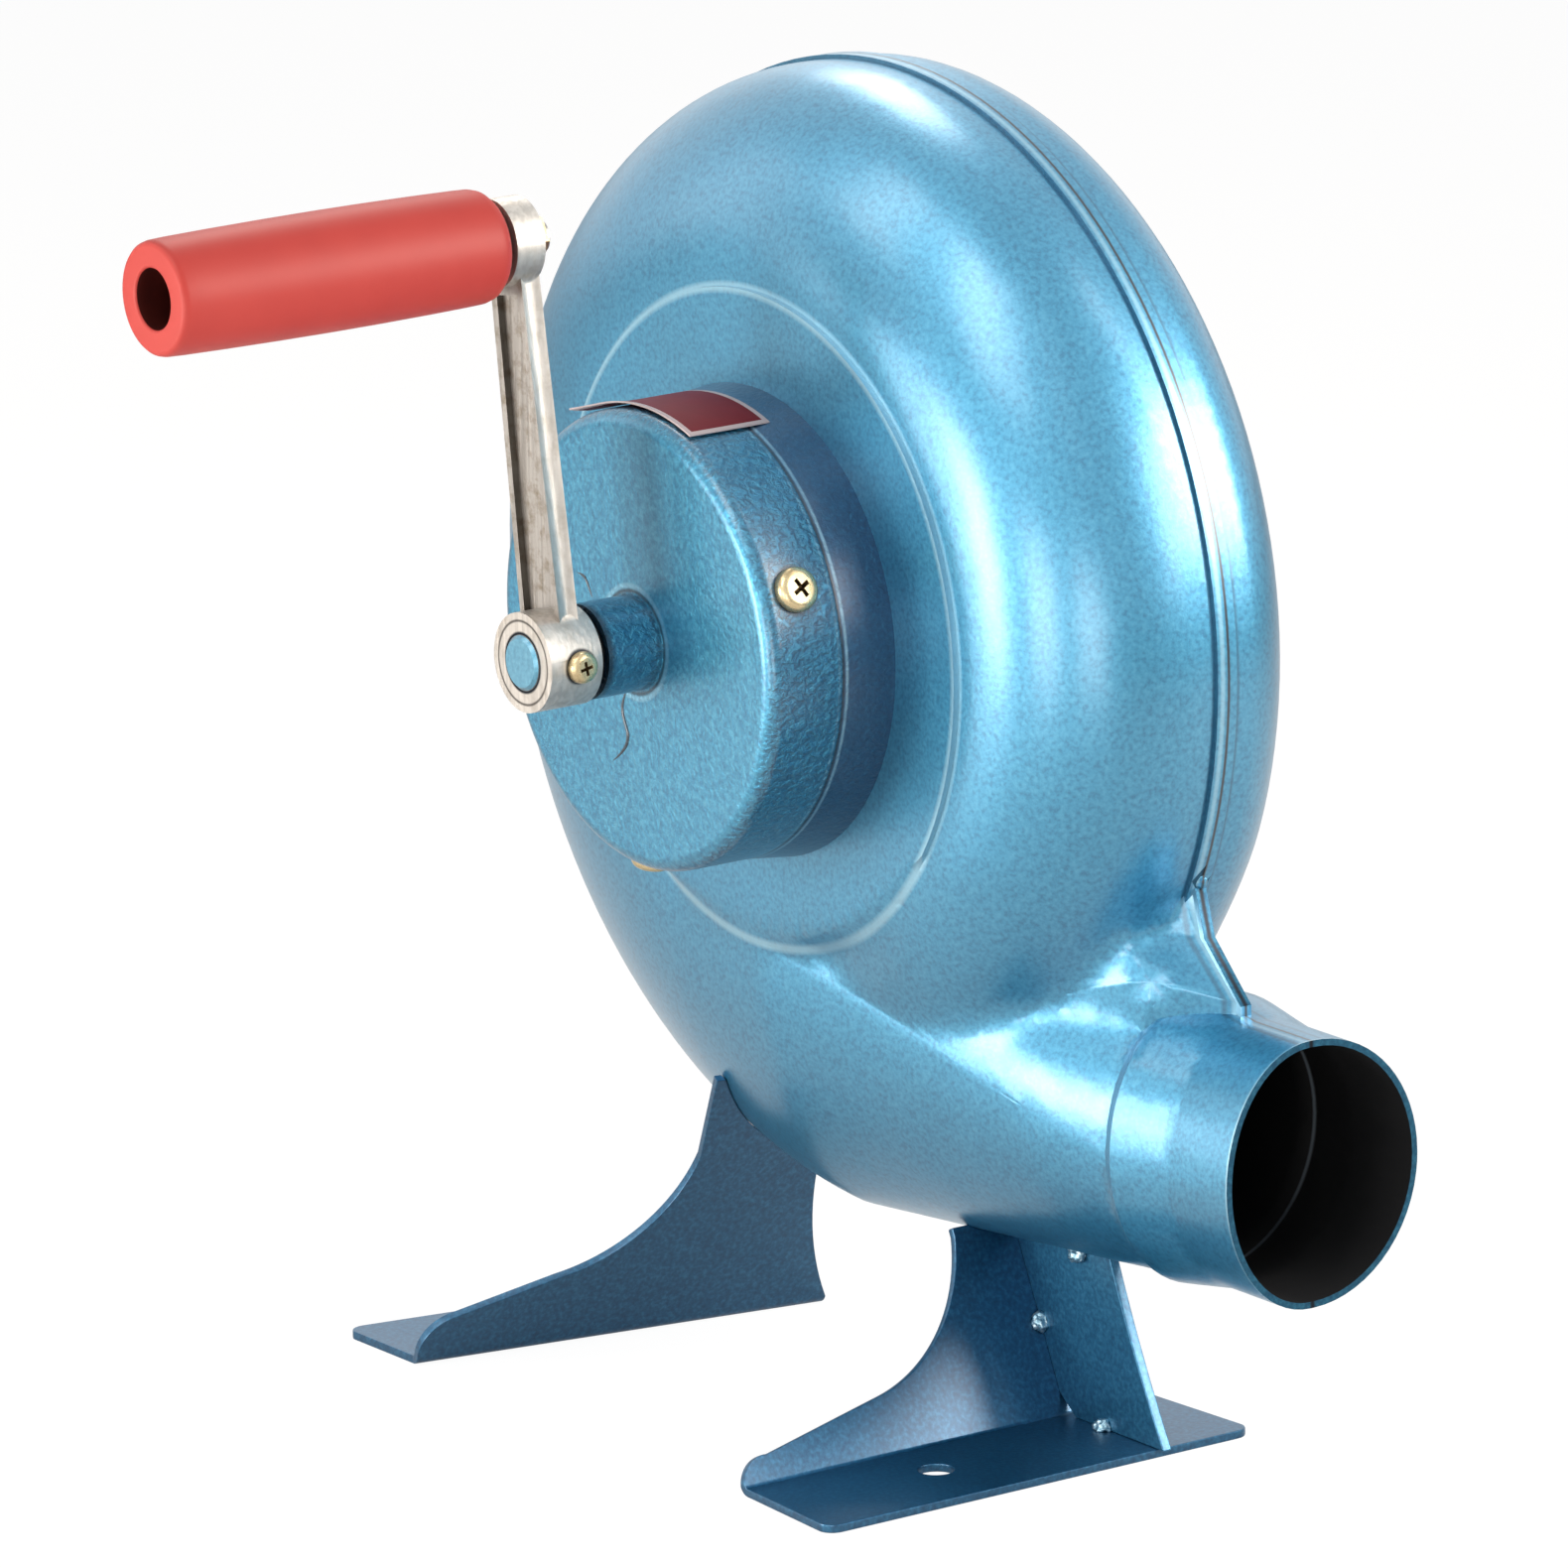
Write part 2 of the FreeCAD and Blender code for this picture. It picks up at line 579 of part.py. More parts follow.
outer_rings = []
inner_rings = []
shields = []
inner_ring_r = fan_shaft_r + seat_gap + bearing_race
shield_outer_r = bearing_outer_r - bearing_race
for front in (hub_front_y, hub_rear_y - bearing_width):
    rear = front + bearing_width
    outer_rings.append(ring(bearing_outer_r, shield_outer_r, front, rear))
    inner_rings.append(ring(inner_ring_r, fan_shaft_r + seat_gap, front, rear))
    for shield_front in (front + shield_inset, rear - shield_inset - shield_thick):
        shield_rear = shield_front + shield_thick
        shields.append(ring(shield_outer_r, inner_ring_r + shield_gap, shield_front, shield_rear))
save("bearing_outer_rings", Part.makeCompound(outer_rings))
save("bearing_inner_rings", Part.makeCompound(inner_rings))
save("bearing_shields", Part.makeCompound(shields))

# ---------------------------------------------------------------- gears
def involute_gear(teeth, width_from, width_to, x, z, tooth_at):
    """Spur gear along Y with involute flanks; one tooth points at the angle tooth_at."""
    pitch_r = module * teeth / 2
    base_r = pitch_r * cos(radians(pressure_angle))
    tip_r = pitch_r + module * addendum
    root_r = pitch_r - module * dedendum
    roll = tan(radians(pressure_angle)) - radians(pressure_angle)
    half_tooth = pi / (2 * teeth) - backlash / (2 * pitch_r)
    start_r = max(base_r, root_r)
    flank = []
    if start_r > root_r:
        flank.append((root_r, half_tooth + roll))
    for k in range(flank_points):
        radius = start_r + (tip_r - start_r) * k / (flank_points - 1)
        turn = acos(min(1.0, base_r / radius))
        flank.append((radius, half_tooth + roll - (tan(turn) - turn)))
    points = []
    for tooth in range(teeth):
        centre = radians(tooth_at) + tooth * 2 * pi / teeth
        for radius, half in flank:
            points.append((radius, centre - half))
        for radius, half in reversed(flank):
            points.append((radius, centre + half))
    corners = [Vector(x + r * cos(a), width_from, z + r * sin(a)) for r, a in points]
    face = Part.Face(Part.makePolygon(corners + corners[:1]))
    return face.extrude(Vector(0, width_to - width_from, 0))


towards_layshaft = layshaft_angle
towards_fan = layshaft_angle + 180
pinion_half_step = 180.0 / pinion_teeth

crank_gear = involute_gear(wheel_teeth, crank_gear_front_y, crank_gear_rear_y, 0, 0, towards_layshaft)
crank_gear_bore = rod(crank_shaft_r + seat_gap, crank_gear_front_y - past, crank_gear_rear_y + past)
crank_gear = crank_gear.cut(crank_gear_bore)
save("crank_gear", crank_gear)

side_room = pinion_extra / 2
layshaft_pinion = involute_gear(pinion_teeth, crank_gear_front_y - side_room, crank_gear_rear_y + side_room,
                                layshaft_x, layshaft_z, towards_fan + pinion_half_step)
layshaft_from = layshaft_front_end + end_gap
layshaft_to = layshaft_rear_end - end_gap
layshaft = rod(layshaft_r, layshaft_from, layshaft_to, layshaft_x, layshaft_z)
save("layshaft", layshaft.fuse(layshaft_pinion))

layshaft_gear = involute_gear(wheel_teeth, layshaft_gear_front_y, layshaft_gear_rear_y,
                              layshaft_x, layshaft_z, towards_fan)
layshaft_gear_bore = rod(layshaft_r + seat_gap, layshaft_gear_front_y - past, layshaft_gear_rear_y + past,
                         layshaft_x, layshaft_z)
layshaft_gear = layshaft_gear.cut(layshaft_gear_bore)
save("layshaft_gear", layshaft_gear)

fan_pinion_from = layshaft_gear_front_y - side_room
fan_pinion_to = layshaft_gear_rear_y + fan_pinion_overlap
fan_pinion = involute_gear(pinion_teeth, fan_pinion_from, fan_pinion_to,
                           0, 0, towards_layshaft + pinion_half_step)
fan_shaft_rear_y = impeller_hub_rear_y + nut_m6_thick + shaft_past_nut
fan_shaft = rod(fan_shaft_r, fan_pinion_from, fan_shaft_rear_y)
save("fan_shaft", fan_shaft.fuse(fan_pinion))

# ---------------------------------------------------------------- impeller
disc = ring(impeller_r, fan_shaft_r + seat_gap, disc_front_y, disc_rear_y)
save("impeller_disc", disc)
impeller_hub = ring(impeller_hub_r, fan_shaft_r + seat_gap, disc_rear_y, impeller_hub_rear_y)
save("impeller_hub", impeller_hub)
blade_outline = [
    Vector(impeller_eye_r, disc_rear_y, 0),
    Vector(impeller_r - blade_tip_inset, disc_rear_y, 0),
    Vector(impeller_r - blade_tip_inset, disc_rear_y + blade_width_outer, 0),
    Vector(impeller_eye_r + blade_nose[0], disc_rear_y + blade_width_inner, 0),
    Vector(impeller_eye_r, disc_rear_y + blade_width_inner - blade_nose[1], 0),
]
blade = Part.Face(Part.makePolygon(blade_outline + blade_outline[:1])).extrude(Vector(0, 0, blade_sheet))
blade_foot_length = impeller_r - impeller_eye_r - blade_foot_short
foot_corner_point = Vector(impeller_eye_r + blade_foot_setback, disc_rear_y, 0)
blade = blade.fuse(Part.makeBox(blade_foot_length, blade_sheet, blade_foot, foot_corner_point))
save("impeller_blades", Part.makeCompound(around(blade, blade_count)))
impeller_nut = hexagon(nut_m6_across, impeller_hub_rear_y, impeller_hub_rear_y + nut_m6_thick)
nut_bore = rod(fan_shaft_r + seat_gap, impeller_hub_rear_y - past, fan_shaft_rear_y + past)
impeller_nut = impeller_nut.cut(nut_bore)
save("impeller_nut", impeller_nut)

# ---------------------------------------------------------------- crank shaft and hub
crank_washer_y = boss_front_y - end_gap
hub_back_y = crank_washer_y - crank_washer_thick
hub_face_y = hub_back_y - hub_length
shaft_front_y = hub_face_y - shaft_proud
crank_shaft = rod(crank_shaft_r, shaft_front_y, crank_gear_rear_y + end_gap)
shaft_rim = [e for e in crank_shaft.Edges if e.Closed]
save("crank_shaft", crank_shaft.makeChamfer(shaft_chamfer, shaft_rim))
thrust_washer_r = crank_shaft_r + thrust_washer_rim
thrust_washer = ring(thrust_washer_r, crank_shaft_r + seat_gap, thrust_front_y, crank_gear_front_y)
save("crank_thrust_washer", thrust_washer)
save("crank_washer", ring(crank_washer_r, crank_shaft_r + seat_gap, hub_back_y, crank_washer_y))


def bar(width_low, width_high, u_from, u_to, y_from, y_to):
    """Tapered flat bar that stands up along Z from the crank hub."""
    points = [
        Vector(-width_low / 2, y_from, u_from),
        Vector(width_low / 2, y_from, u_from),
        Vector(width_high / 2, y_from, u_to),
        Vector(-width_high / 2, y_from, u_to),
    ]
    return Part.Face(Part.makePolygon(points + points[:1])).extrude(Vector(0, y_to - y_from, 0))


arm_rear_y = hub_back_y - arm_setback
arm_face_y = arm_rear_y - arm_thick
eye_face_y = arm_rear_y - eye_thick
arm = bar(arm_width_low, arm_width_high, 0, crank_throw, arm_face_y, arm_rear_y)
arm = arm.fuse(rod(eye_r, eye_face_y, arm_rear_y, 0, crank_throw))
inset = 2 * arm_border
channel_end = crank_throw - eye_r - arm_channel_end
channel = bar(arm_width_low - inset, arm_width_high - inset, hub_r - arm_border, channel_end,
              arm_face_y - past, arm_face_y + arm_recess)
arm = arm.cut(channel)
arm = arm.fuse(rod(hub_r, hub_face_y, hub_back_y))
arm = arm.cut(rod(crank_shaft_r + seat_gap, hub_face_y - past, hub_back_y + past))
arm = arm.cut(rod(grip_pin_r + seat_gap, eye_face_y - past, arm_rear_y + past, 0, crank_throw))
arm.rotate(Vector(0, 0, 0), Vector(0, 1, 0), -crank_lean)
set_screw_y = hub_back_y - hub_length / 2 + set_screw_forward
set_hole = Part.makeCylinder(set_screw_r + seat_gap, 2 * hub_r, Vector(0, set_screw_y, 0), Vector(1, 0, 0))
save("crank_arm", arm.cut(set_hole))
set_screw_length = hub_r - crank_shaft_r - seat_gap
set_screw = cross_screw(set_screw_length, set_screw_head_r, set_screw_head_height, set_screw_r)
set_screw.translate(Vector(hub_r, set_screw_y, 0))
save("crank_set_screw", set_screw)

# ---------------------------------------------------------------- grip and its pin
grip_x = -crank_throw * sin(radians(crank_lean))
grip_z = crank_throw * cos(radians(crank_lean))
grip_rear_y = eye_face_y - pin_washer_thick - end_gap
grip_front_y = grip_rear_y - grip_length
pin_head_rear_y = grip_front_y + grip_bore_depth - end_gap
grip = rod(grip_r, grip_front_y, grip_rear_y, grip_x, grip_z)
grip = grip.makeChamfer(grip_chamfer, [e for e in grip.Edges if e.Closed])
grip = grip.cut(rod(grip_bore_r, grip_front_y - past, grip_front_y + grip_bore_depth, grip_x, grip_z))
grip = grip.cut(rod(grip_pin_r + running_gap, grip_front_y, grip_rear_y + past, grip_x, grip_z))
save("handle_grip", grip)
pin = rod(grip_pin_r, pin_head_rear_y, arm_rear_y + nut_thick + pin_past_nut, grip_x, grip_z)
pin = pin.fuse(rod(pin_head_r, pin_head_rear_y - pin_head_thick, pin_head_rear_y, grip_x, grip_z))
save("handle_pin", pin)
save("handle_washer", ring(pin_washer_r, grip_pin_r + seat_gap, eye_face_y - pin_washer_thick, eye_face_y,
                           grip_x, grip_z))
nut = hexagon(nut_across_flats, arm_rear_y, arm_rear_y + nut_thick, grip_x, grip_z)
nut_hole = rod(grip_pin_r + seat_gap, arm_rear_y - past, arm_rear_y + nut_thick + past, grip_x, grip_z)
save("handle_nut", nut.cut(nut_hole))


# ---------------------------------------------------------------- feet
ground = -axis_height
volute_low = volute_radius(270) - bead_height
web_to_volute = (axis_height - volute_low) / cos(radians(foot_lean))
foot_neck_height = web_to_volute + foot_neck_past
left_neck_height = web_to_volute + left_neck_past
foot_rear_rise = foot_neck_height - foot_rear_drop
web_up = Vector(-sin(radians(foot_lean)), 0, cos(radians(foot_lean)))
web_out = Vector(-cos(radians(foot_lean)), 0, -sin(radians(foot_lean)))
bend_outer = foot_bend_r + foot_sheet
bend_reach = bend_outer * tan(radians(90 - foot_lean) / 2)
bend_centre = Vector(foot_fold_x + bend_reach, 0, ground + bend_outer)
housing_outside = front_outside.fuse(rear_outside)


def web_plate(front, lower, neck_height, slit_end):
    """Leaning web of a foot, cut to its swept outline, as (y, height up the web)."""
    outline = [
        (foot_rear, bend_reach),
        (foot_neck_rear, foot_rear_rise + lower),
        (foot_neck_rear, neck_height + foot_sheet),
        (slit_end, neck_height + foot_sheet),
        (slit_end, neck_height),
        (foot_neck_front, neck_height),
        (foot_neck_front, foot_neck_height + lower - foot_sheet),
        (foot_heel_y, foot_heel_height + lower),
        (front + foot_toe_length, foot_toe_height + lower),
        (front, bend_reach),
    ]
    rear_middle = (
        (outline[0][0] + outline[1][0]) / 2 - foot_rear_hollow,
        (outline[0][1] + outline[1][1]) / 2,
    )
    sweep_middle = (
        foot_neck_front + (foot_heel_y - foot_neck_front) * foot_sweep_share,
        outline[7][1] + (outline[6][1] - outline[7][1]) * foot_sweep_share,
    )
    toe_rise = outline[8][1] - bend_reach
    toe_middle = (front + foot_toe_length * (1 - sqrt(0.5)), bend_reach + toe_rise * sqrt(0.5))
    fold = Vector(foot_fold_x, 0, ground)

    def on_web(place):
        return fold + Vector(0, place[0], 0) + web_up * place[1]

    points = [on_web(place) for place in outline]
    arcs = [(0, on_web(rear_middle)), (6, on_web(sweep_middle)), (8, on_web(toe_middle))]
    return profile_face(points, arcs).extrude(web_out * -foot_sheet)


def foot(front, lower, flange, skew, neck_height, slit_end):
    """Right foot: one bent sheet with a flat flange and a leaning web."""
    outer_x = foot_fold_x + flange
    outer_front = front - skew
    outer_rear = foot_rear + foot_flare
    plan = [
        Vector(bend_centre.x, front, ground),
        Vector(outer_x - foot_corner, outer_front, ground),
        Vector(outer_x, outer_front + foot_corner, ground),
        Vector(outer_x, outer_rear - foot_corner, ground),
        Vector(outer_x - foot_corner, outer_rear, ground),
        Vector(bend_centre.x, foot_rear, ground),
    ]
    inset = foot_corner * (1 - sqrt(0.5))
    rounds = [
        (1, Vector(outer_x - inset, outer_front + inset, ground)),
        (3, Vector(outer_x - inset, outer_rear - inset, ground)),
    ]
    flange_plate = profile_face(plan, rounds).extrude(Vector(0, 0, foot_sheet))
    half_turn = radians((270 + 180 + foot_lean) / 2)
    half_way = Vector(cos(half_turn), 0, sin(half_turn))
    low = Vector(0, front, 0)
    bend_points = [
        bend_centre - Vector(0, 0, bend_outer) + low,
        bend_centre + web_out * bend_outer + low,
        bend_centre + web_out * foot_bend_r + low,
        bend_centre - Vector(0, 0, foot_bend_r) + low,
    ]
    outer_middle = bend_centre + half_way * bend_outer + low
    inner_middle = bend_centre + half_way * foot_bend_r + low
    bend = profile_face(bend_points, [(0, outer_middle), (2, inner_middle)])
    bend = bend.extrude(Vector(0, foot_rear - front, 0))
    web = web_plate(front, lower, neck_height, slit_end)
    return flange_plate.fuse(bend).fuse(web).removeSplitter()


def drill(shape, x):
    place = Vector(x, -hole_line_to_joint, ground - foot_sheet)
    return shape.cut(Part.makeCylinder(foot_hole_r, 4 * foot_sheet, place))


right_foot = foot(foot_front, 0, flange_width, foot_flare, foot_neck_height, foot_slit_end)
right_foot = drill(right_foot.cut(housing_outside), foot_hole_spacing / 2 - axis_offset)
save("right_foot", right_foot)
left_front = foot_front + left_toe_cut
left_flange = flange_width - left_flange_cut
left_slit_end = foot_neck_rear - foot_sheet
left_foot = foot(left_front, left_fold_lower, left_flange,
                 left_flange_skew, left_neck_height, left_slit_end)
left_foot = left_foot.mirror(Vector(0, 0, 0), Vector(1, 0, 0))
left_foot.rotate(Vector(-foot_fold_x, (left_front + foot_rear) / 2, 0), Vector(0, 0, 1), -left_foot_toe_out)
left_foot.translate(Vector(-left_foot_spread, -left_foot_forward, 0))
left_foot = drill(left_foot.cut(housing_outside), -foot_hole_spacing / 2 - axis_offset)
save("left_foot", left_foot)

# ---------------------------------------------------------------- gusset under the duct
web_face = bend_centre + web_out * foot_bend_r
gusset_low = ground + foot_sheet
gusset_top = foot_neck_height + foot_sheet
right_low = Vector(web_face.x + gusset_width, gusset_y, gusset_low)
gusset_points = [
    Vector(bend_centre.x + gusset_clip, gusset_y, gusset_low),
    right_low,
    right_low + web_up * gusset_top,
    web_face + web_up * gusset_top + Vector(0, gusset_y, 0),
    web_face + web_up * (foot_bend_r + gusset_clip) + Vector(0, gusset_y, 0),
]
gusset_bow = right_low + web_up * (gusset_top / 2) - Vector(gusset_hollow, 0, 0)
gusset = profile_face(gusset_points, [(1, gusset_bow)]).extrude(Vector(0, gusset_sheet, 0))
gusset = gusset.cut(housing_outside)
save("foot_gusset", gusset)

# ---------------------------------------------------------------- weld beads
solid_steel = housing_outside.fuse(right_foot).fuse(gusset)
web_line = web_face + Vector(0, gusset_y, 0)
duct_weld_x = web_face.x + weld_on_duct
duct_rise = (volute_low - outlet_drop - duct_end_r) * duct_weld_x / duct_end_x
weld_places = [
    web_line + web_up * weld_on_web,
    Vector(web_face.x + weld_on_flange, gusset_y, gusset_low),
    Vector(duct_weld_x, gusset_y, duct_rise - volute_low - weld_under_duct),
]
beads = []
for place in weld_places:
    pieces = Part.makeSphere(weld_r, place).cut(solid_steel).Solids
    beads.append(max(pieces, key=lambda piece: piece.Volume))
save("foot_welds", Part.makeCompound(beads))
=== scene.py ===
import json
import math

import bpy
from mathutils import Matrix, Vector

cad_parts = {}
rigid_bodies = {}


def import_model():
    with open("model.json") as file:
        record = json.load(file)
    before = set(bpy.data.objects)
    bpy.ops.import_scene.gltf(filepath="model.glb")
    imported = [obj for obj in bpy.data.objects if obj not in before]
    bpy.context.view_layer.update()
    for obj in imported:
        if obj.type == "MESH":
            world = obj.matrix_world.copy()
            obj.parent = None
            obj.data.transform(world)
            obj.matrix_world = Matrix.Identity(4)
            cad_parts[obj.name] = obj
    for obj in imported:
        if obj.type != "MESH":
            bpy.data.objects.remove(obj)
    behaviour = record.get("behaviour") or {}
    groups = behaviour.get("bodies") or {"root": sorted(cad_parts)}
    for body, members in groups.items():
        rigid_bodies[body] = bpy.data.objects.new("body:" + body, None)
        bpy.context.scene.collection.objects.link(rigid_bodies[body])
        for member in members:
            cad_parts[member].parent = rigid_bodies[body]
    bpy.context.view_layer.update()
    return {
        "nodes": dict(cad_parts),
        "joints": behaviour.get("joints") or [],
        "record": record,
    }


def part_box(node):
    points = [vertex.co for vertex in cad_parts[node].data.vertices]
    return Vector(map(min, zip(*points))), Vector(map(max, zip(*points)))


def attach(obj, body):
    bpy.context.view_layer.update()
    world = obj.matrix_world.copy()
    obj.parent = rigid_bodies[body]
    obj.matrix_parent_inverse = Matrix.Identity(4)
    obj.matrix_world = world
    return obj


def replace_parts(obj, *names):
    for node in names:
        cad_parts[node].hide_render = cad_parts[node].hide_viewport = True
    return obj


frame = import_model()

# The studio: a white paper sweep inside a ring of upright soft boxes that stand on
# the floor around the blower. The camera stands well back, between the crank side
# and the outlet, and a little above the axle.
axle = next(joint for joint in frame["joints"] if joint["name"] == "crank_spin")["pos_m"]
seam_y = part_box("front_shell")[1].y
hub_centre = Vector((axle[0], seam_y, axle[2]))

camera_azimuth = math.radians(54.46)
camera_elevation = math.radians(14.51)
camera_roll = math.radians(-0.9)
camera_distance = 2.3423
camera_lens = 296.2
aim_left = 0.0236
aim_low = 0.0352

level = Vector((math.cos(camera_azimuth), math.sin(camera_azimuth), 0))
back = Vector((
    math.sin(camera_azimuth) * math.cos(camera_elevation),
    -math.cos(camera_azimuth) * math.cos(camera_elevation),
    math.sin(camera_elevation),
))
upright = back.cross(level)
right = level * math.cos(camera_roll) + upright * math.sin(camera_roll)
up = upright * math.cos(camera_roll) - level * math.sin(camera_roll)
camera_place = hub_centre - right * aim_left - up * aim_low + back * camera_distance
bpy.ops.object.camera_add()
camera = bpy.context.object
camera.name = "camera"
camera.data.lens = camera_lens
camera.data.clip_end = 20
camera.matrix_world = Matrix.Translation(camera_place) @ Matrix((right, up, back)).transposed().to_4x4()
bpy.context.scene.camera = camera
bpy.context.scene.view_settings.view_transform = "Standard"

soft_boxes = [
    # degrees from the crank side towards the outlet, lower and upper edge, watts
    (-120, 0.60, 1.20, 2.6),
    (-60, 0.25, 0.60, 0.2),
    (-35, 0.005, 0.25, 0.5),
    (-35, 0.60, 1.20, 1.6),
    (-15, 0.005, 0.25, 2.4),
    (5, 0.60, 1.20, 2.2),
    (20, 0.005, 0.25, 1.2),
    (20, 0.60, 1.20, 1.2),
    (50, 0.005, 0.25, 0.8),
    (50, 0.60, 1.20, 0.2),
    (110, 0.25, 0.60, 1.6),
    (130, 0.25, 0.60, 3.7),
    (130, 0.60, 1.20, 1.2),
]
box_width = 0.2
box_colour = (1.0, 0.90, 0.82)
ring_radius = 0.7
ring_forward = 0.03
aim_height = 0.13
ring_centre = Vector((hub_centre.x, hub_centre.y - ring_forward, 0))
aim_at = ring_centre + Vector((0, 0, aim_height))
for degrees, lower, upper, watts in soft_boxes:
    turn = math.radians(degrees)
    bpy.ops.object.light_add(type="AREA")
    lamp = bpy.context.object
    lamp.name = f"soft_box_{degrees}_{round(lower * 100)}"
    lamp.data.shape = "RECTANGLE"
    lamp.data.size = box_width
    lamp.data.size_y = upper - lower
    lamp.data.energy = watts
    lamp.data.color = box_colour
    lamp.visible_camera = False
    lamp.location = ring_centre + Vector((
        math.sin(turn) * ring_radius, -math.cos(turn) * ring_radius, (lower + upper) / 2,
    ))
    towards = (lamp.location - aim_at).normalized()
    lamp.rotation_euler = towards.to_track_quat("Z", "Y").to_euler()


def shader(name):
    """A new material with its node tree and its Principled shader."""
    material = bpy.data.materials.new(name)
    material.use_nodes = True
    tree = material.node_tree
    return material, tree, tree.nodes["Principled BSDF"]


def put(tree, node, sockets):
    """Give a node's sockets their values; another node's output is linked in."""
    for socket, value in sockets.items():
        if isinstance(value, bpy.types.NodeSocket):
            tree.links.new(value, node.inputs[socket])
        else:
            node.inputs[socket].default_value = value


def add(tree, kind, sockets=None, **settings):
    """One more node, with its settings and its named or numbered sockets."""
    node = tree.nodes.new(kind)
    for key, value in settings.items():
        setattr(node, key, value)
    put(tree, node, sockets or {})
    return node


def calc(tree, operation, *values, clamp=False):
    """The outcome of one sum."""
    return add(
        tree, "ShaderNodeMath", dict(enumerate(values)), operation=operation, use_clamp=clamp,
    ).outputs[0]


def paper_rays(tree, camera_share, mirror_share):
    """Share of the white paper that camera rays see, and that mirror and clear rays see."""
    ray = add(tree, "ShaderNodeLightPath").outputs
    seen = calc(tree, "MULTIPLY", ray["Is Camera Ray"], camera_share)
    bounced = calc(tree, "ADD", ray["Is Glossy Ray"], ray["Is Transmission Ray"], clamp=True)
    mirrored = calc(tree, "MULTIPLY", bounced, mirror_share)
    return calc(tree, "ADD", seen, mirrored, clamp=True)


world = bpy.data.worlds.new("studio")
bpy.context.scene.world = world
world.use_nodes = True
studio = world.node_tree
room = studio.nodes["Background"]
put(studio, room, {"Color": (0.86, 0.93, 1.0, 1), "Strength": 0.1})
paper = add(studio, "ShaderNodeBackground", {"Color": (1, 1, 1, 1), "Strength": 1.0})
backdrop = add(studio, "ShaderNodeMixShader", {
    0: paper_rays(studio, 1.0, 1.0), 1: room.outputs[0], 2: paper.outputs[0],
})
put(studio, studio.nodes["World Output"], {"Surface": backdrop.outputs[0]})

# Seen from beneath, the floor is clear, so that the soles stay in view.
bpy.ops.mesh.primitive_plane_add(size=12)
floor = bpy.context.object
floor.name = "floor"
floor_paper, tree, paint = shader("floor_paper")
put(tree, paint, {"Base Color": (0.80, 0.80, 0.80, 1), "Roughness": 0.9, "Specular IOR Level": 0.1})
glow = add(tree, "ShaderNodeEmission", {"Color": (1, 1, 1, 1), "Strength": 1.08})
lit = add(tree, "ShaderNodeMixShader", {
    0: paper_rays(tree, 0.88, 0.22), 1: paint.outputs[0], 2: glow.outputs[0],
})
clear = add(tree, "ShaderNodeBsdfTransparent")
facing_down = add(tree, "ShaderNodeNewGeometry").outputs["Backfacing"]
one_way = add(tree, "ShaderNodeMixShader", {0: facing_down, 1: lit.outputs[0], 2: clear.outputs[0]})
put(tree, tree.nodes["Material Output"], {"Surface": one_way.outputs[0]})
floor.data.materials.append(floor_paper)

# The rear shell: one half of the volute, pressed from thin sheet steel, sprayed
# outside with blue hammertone enamel and left bare inside, where it is coloured
# near black as painted shade for the dark hollow. The pressing flows from the
# scroll into the outlet duct through a soft hollow.
enamel_body = (0.027, 0.245, 0.420, 1)
enamel_pool = (0.015, 0.168, 0.312, 1)
enamel_flake = (0.052, 0.295, 0.470, 1)
# Dark joints, and painted shade in the gaps round the boss, the screw heads and the hub.
dark_joint_and_gap_shade = (0.002, 0.007, 0.014, 1)
seam_shade = (0.010, 0.080, 0.150, 1)
# Painted highlight: pale lines where beads, steps, rims and lips catch the light.
painted_edge_highlight = (0.36, 0.62, 0.74, 1)
black = (0, 0, 0, 1)
white = (1, 1, 1, 1)
facing = 0.9
step_radius = 0.0605
mouth_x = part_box("front_shell")[1].x
outlet_z = axle[2] - 0.084
collar_x = axle[0] + 0.0855


def group(name, inputs, outputs):
    """An empty shader node group, its given sockets and the node that takes its results."""
    tree = bpy.data.node_groups.new(name, "ShaderNodeTree")
    for label, kind, value in inputs:
        socket = tree.interface.new_socket(label, in_out="INPUT", socket_type="NodeSocket" + kind)
        socket.default_value = value
    for label, kind in outputs:
        tree.interface.new_socket(label, in_out="OUTPUT", socket_type="NodeSocket" + kind)
    return tree, tree.nodes.new("NodeGroupInput").outputs, tree.nodes.new("NodeGroupOutput")


def effect(tree, kind, sockets):
    """The results of a shader node group placed in a material."""
    return add(tree, "ShaderNodeGroup", sockets, node_tree=kind).outputs


def object_point(tree):
    """The point on the piece that is being shaded."""
    return add(tree, "ShaderNodeTexCoord").outputs["Object"]


def noise(tree, point, scale, detail, roughness=0.5, distortion=0.0):
    """Soft random values over the surface."""
    return add(tree, "ShaderNodeTexNoise", {
        "Vector": point, "Scale": scale, "Detail": detail,
        "Roughness": roughness, "Distortion": distortion,
    }).outputs["Fac"]


def spread(tree, value, from_min, from_max, to_min=0.0, to_max=1.0, **settings):
    """A value carried from one range to another, and held at its ends."""
    return add(tree, "ShaderNodeMapRange", {
        "Value": value, "From Min": from_min, "From Max": from_max, "To Min": to_min, "To Max": to_max,
    }, **settings).outputs[0]


def mixed(tree, share, first, second):
    """Two colours mixed by the second one's share."""
    return add(
        tree, "ShaderNodeMix", {"Factor": share, "A": first, "B": second}, data_type="RGBA",
    ).outputs["Result"]


def away(tree, point, centre):
    """Distance from a centre."""
    return add(
        tree, "ShaderNodeVectorMath", {0: point, 1: centre}, operation="DISTANCE",
    ).outputs["Value"]


def bumped(tree, height, strength, depth):
    """The tilt of the surface that a height gives it."""
    return add(tree, "ShaderNodeBump", {
        "Height": height, "Strength": strength, "Distance": depth,
    }).outputs[0]


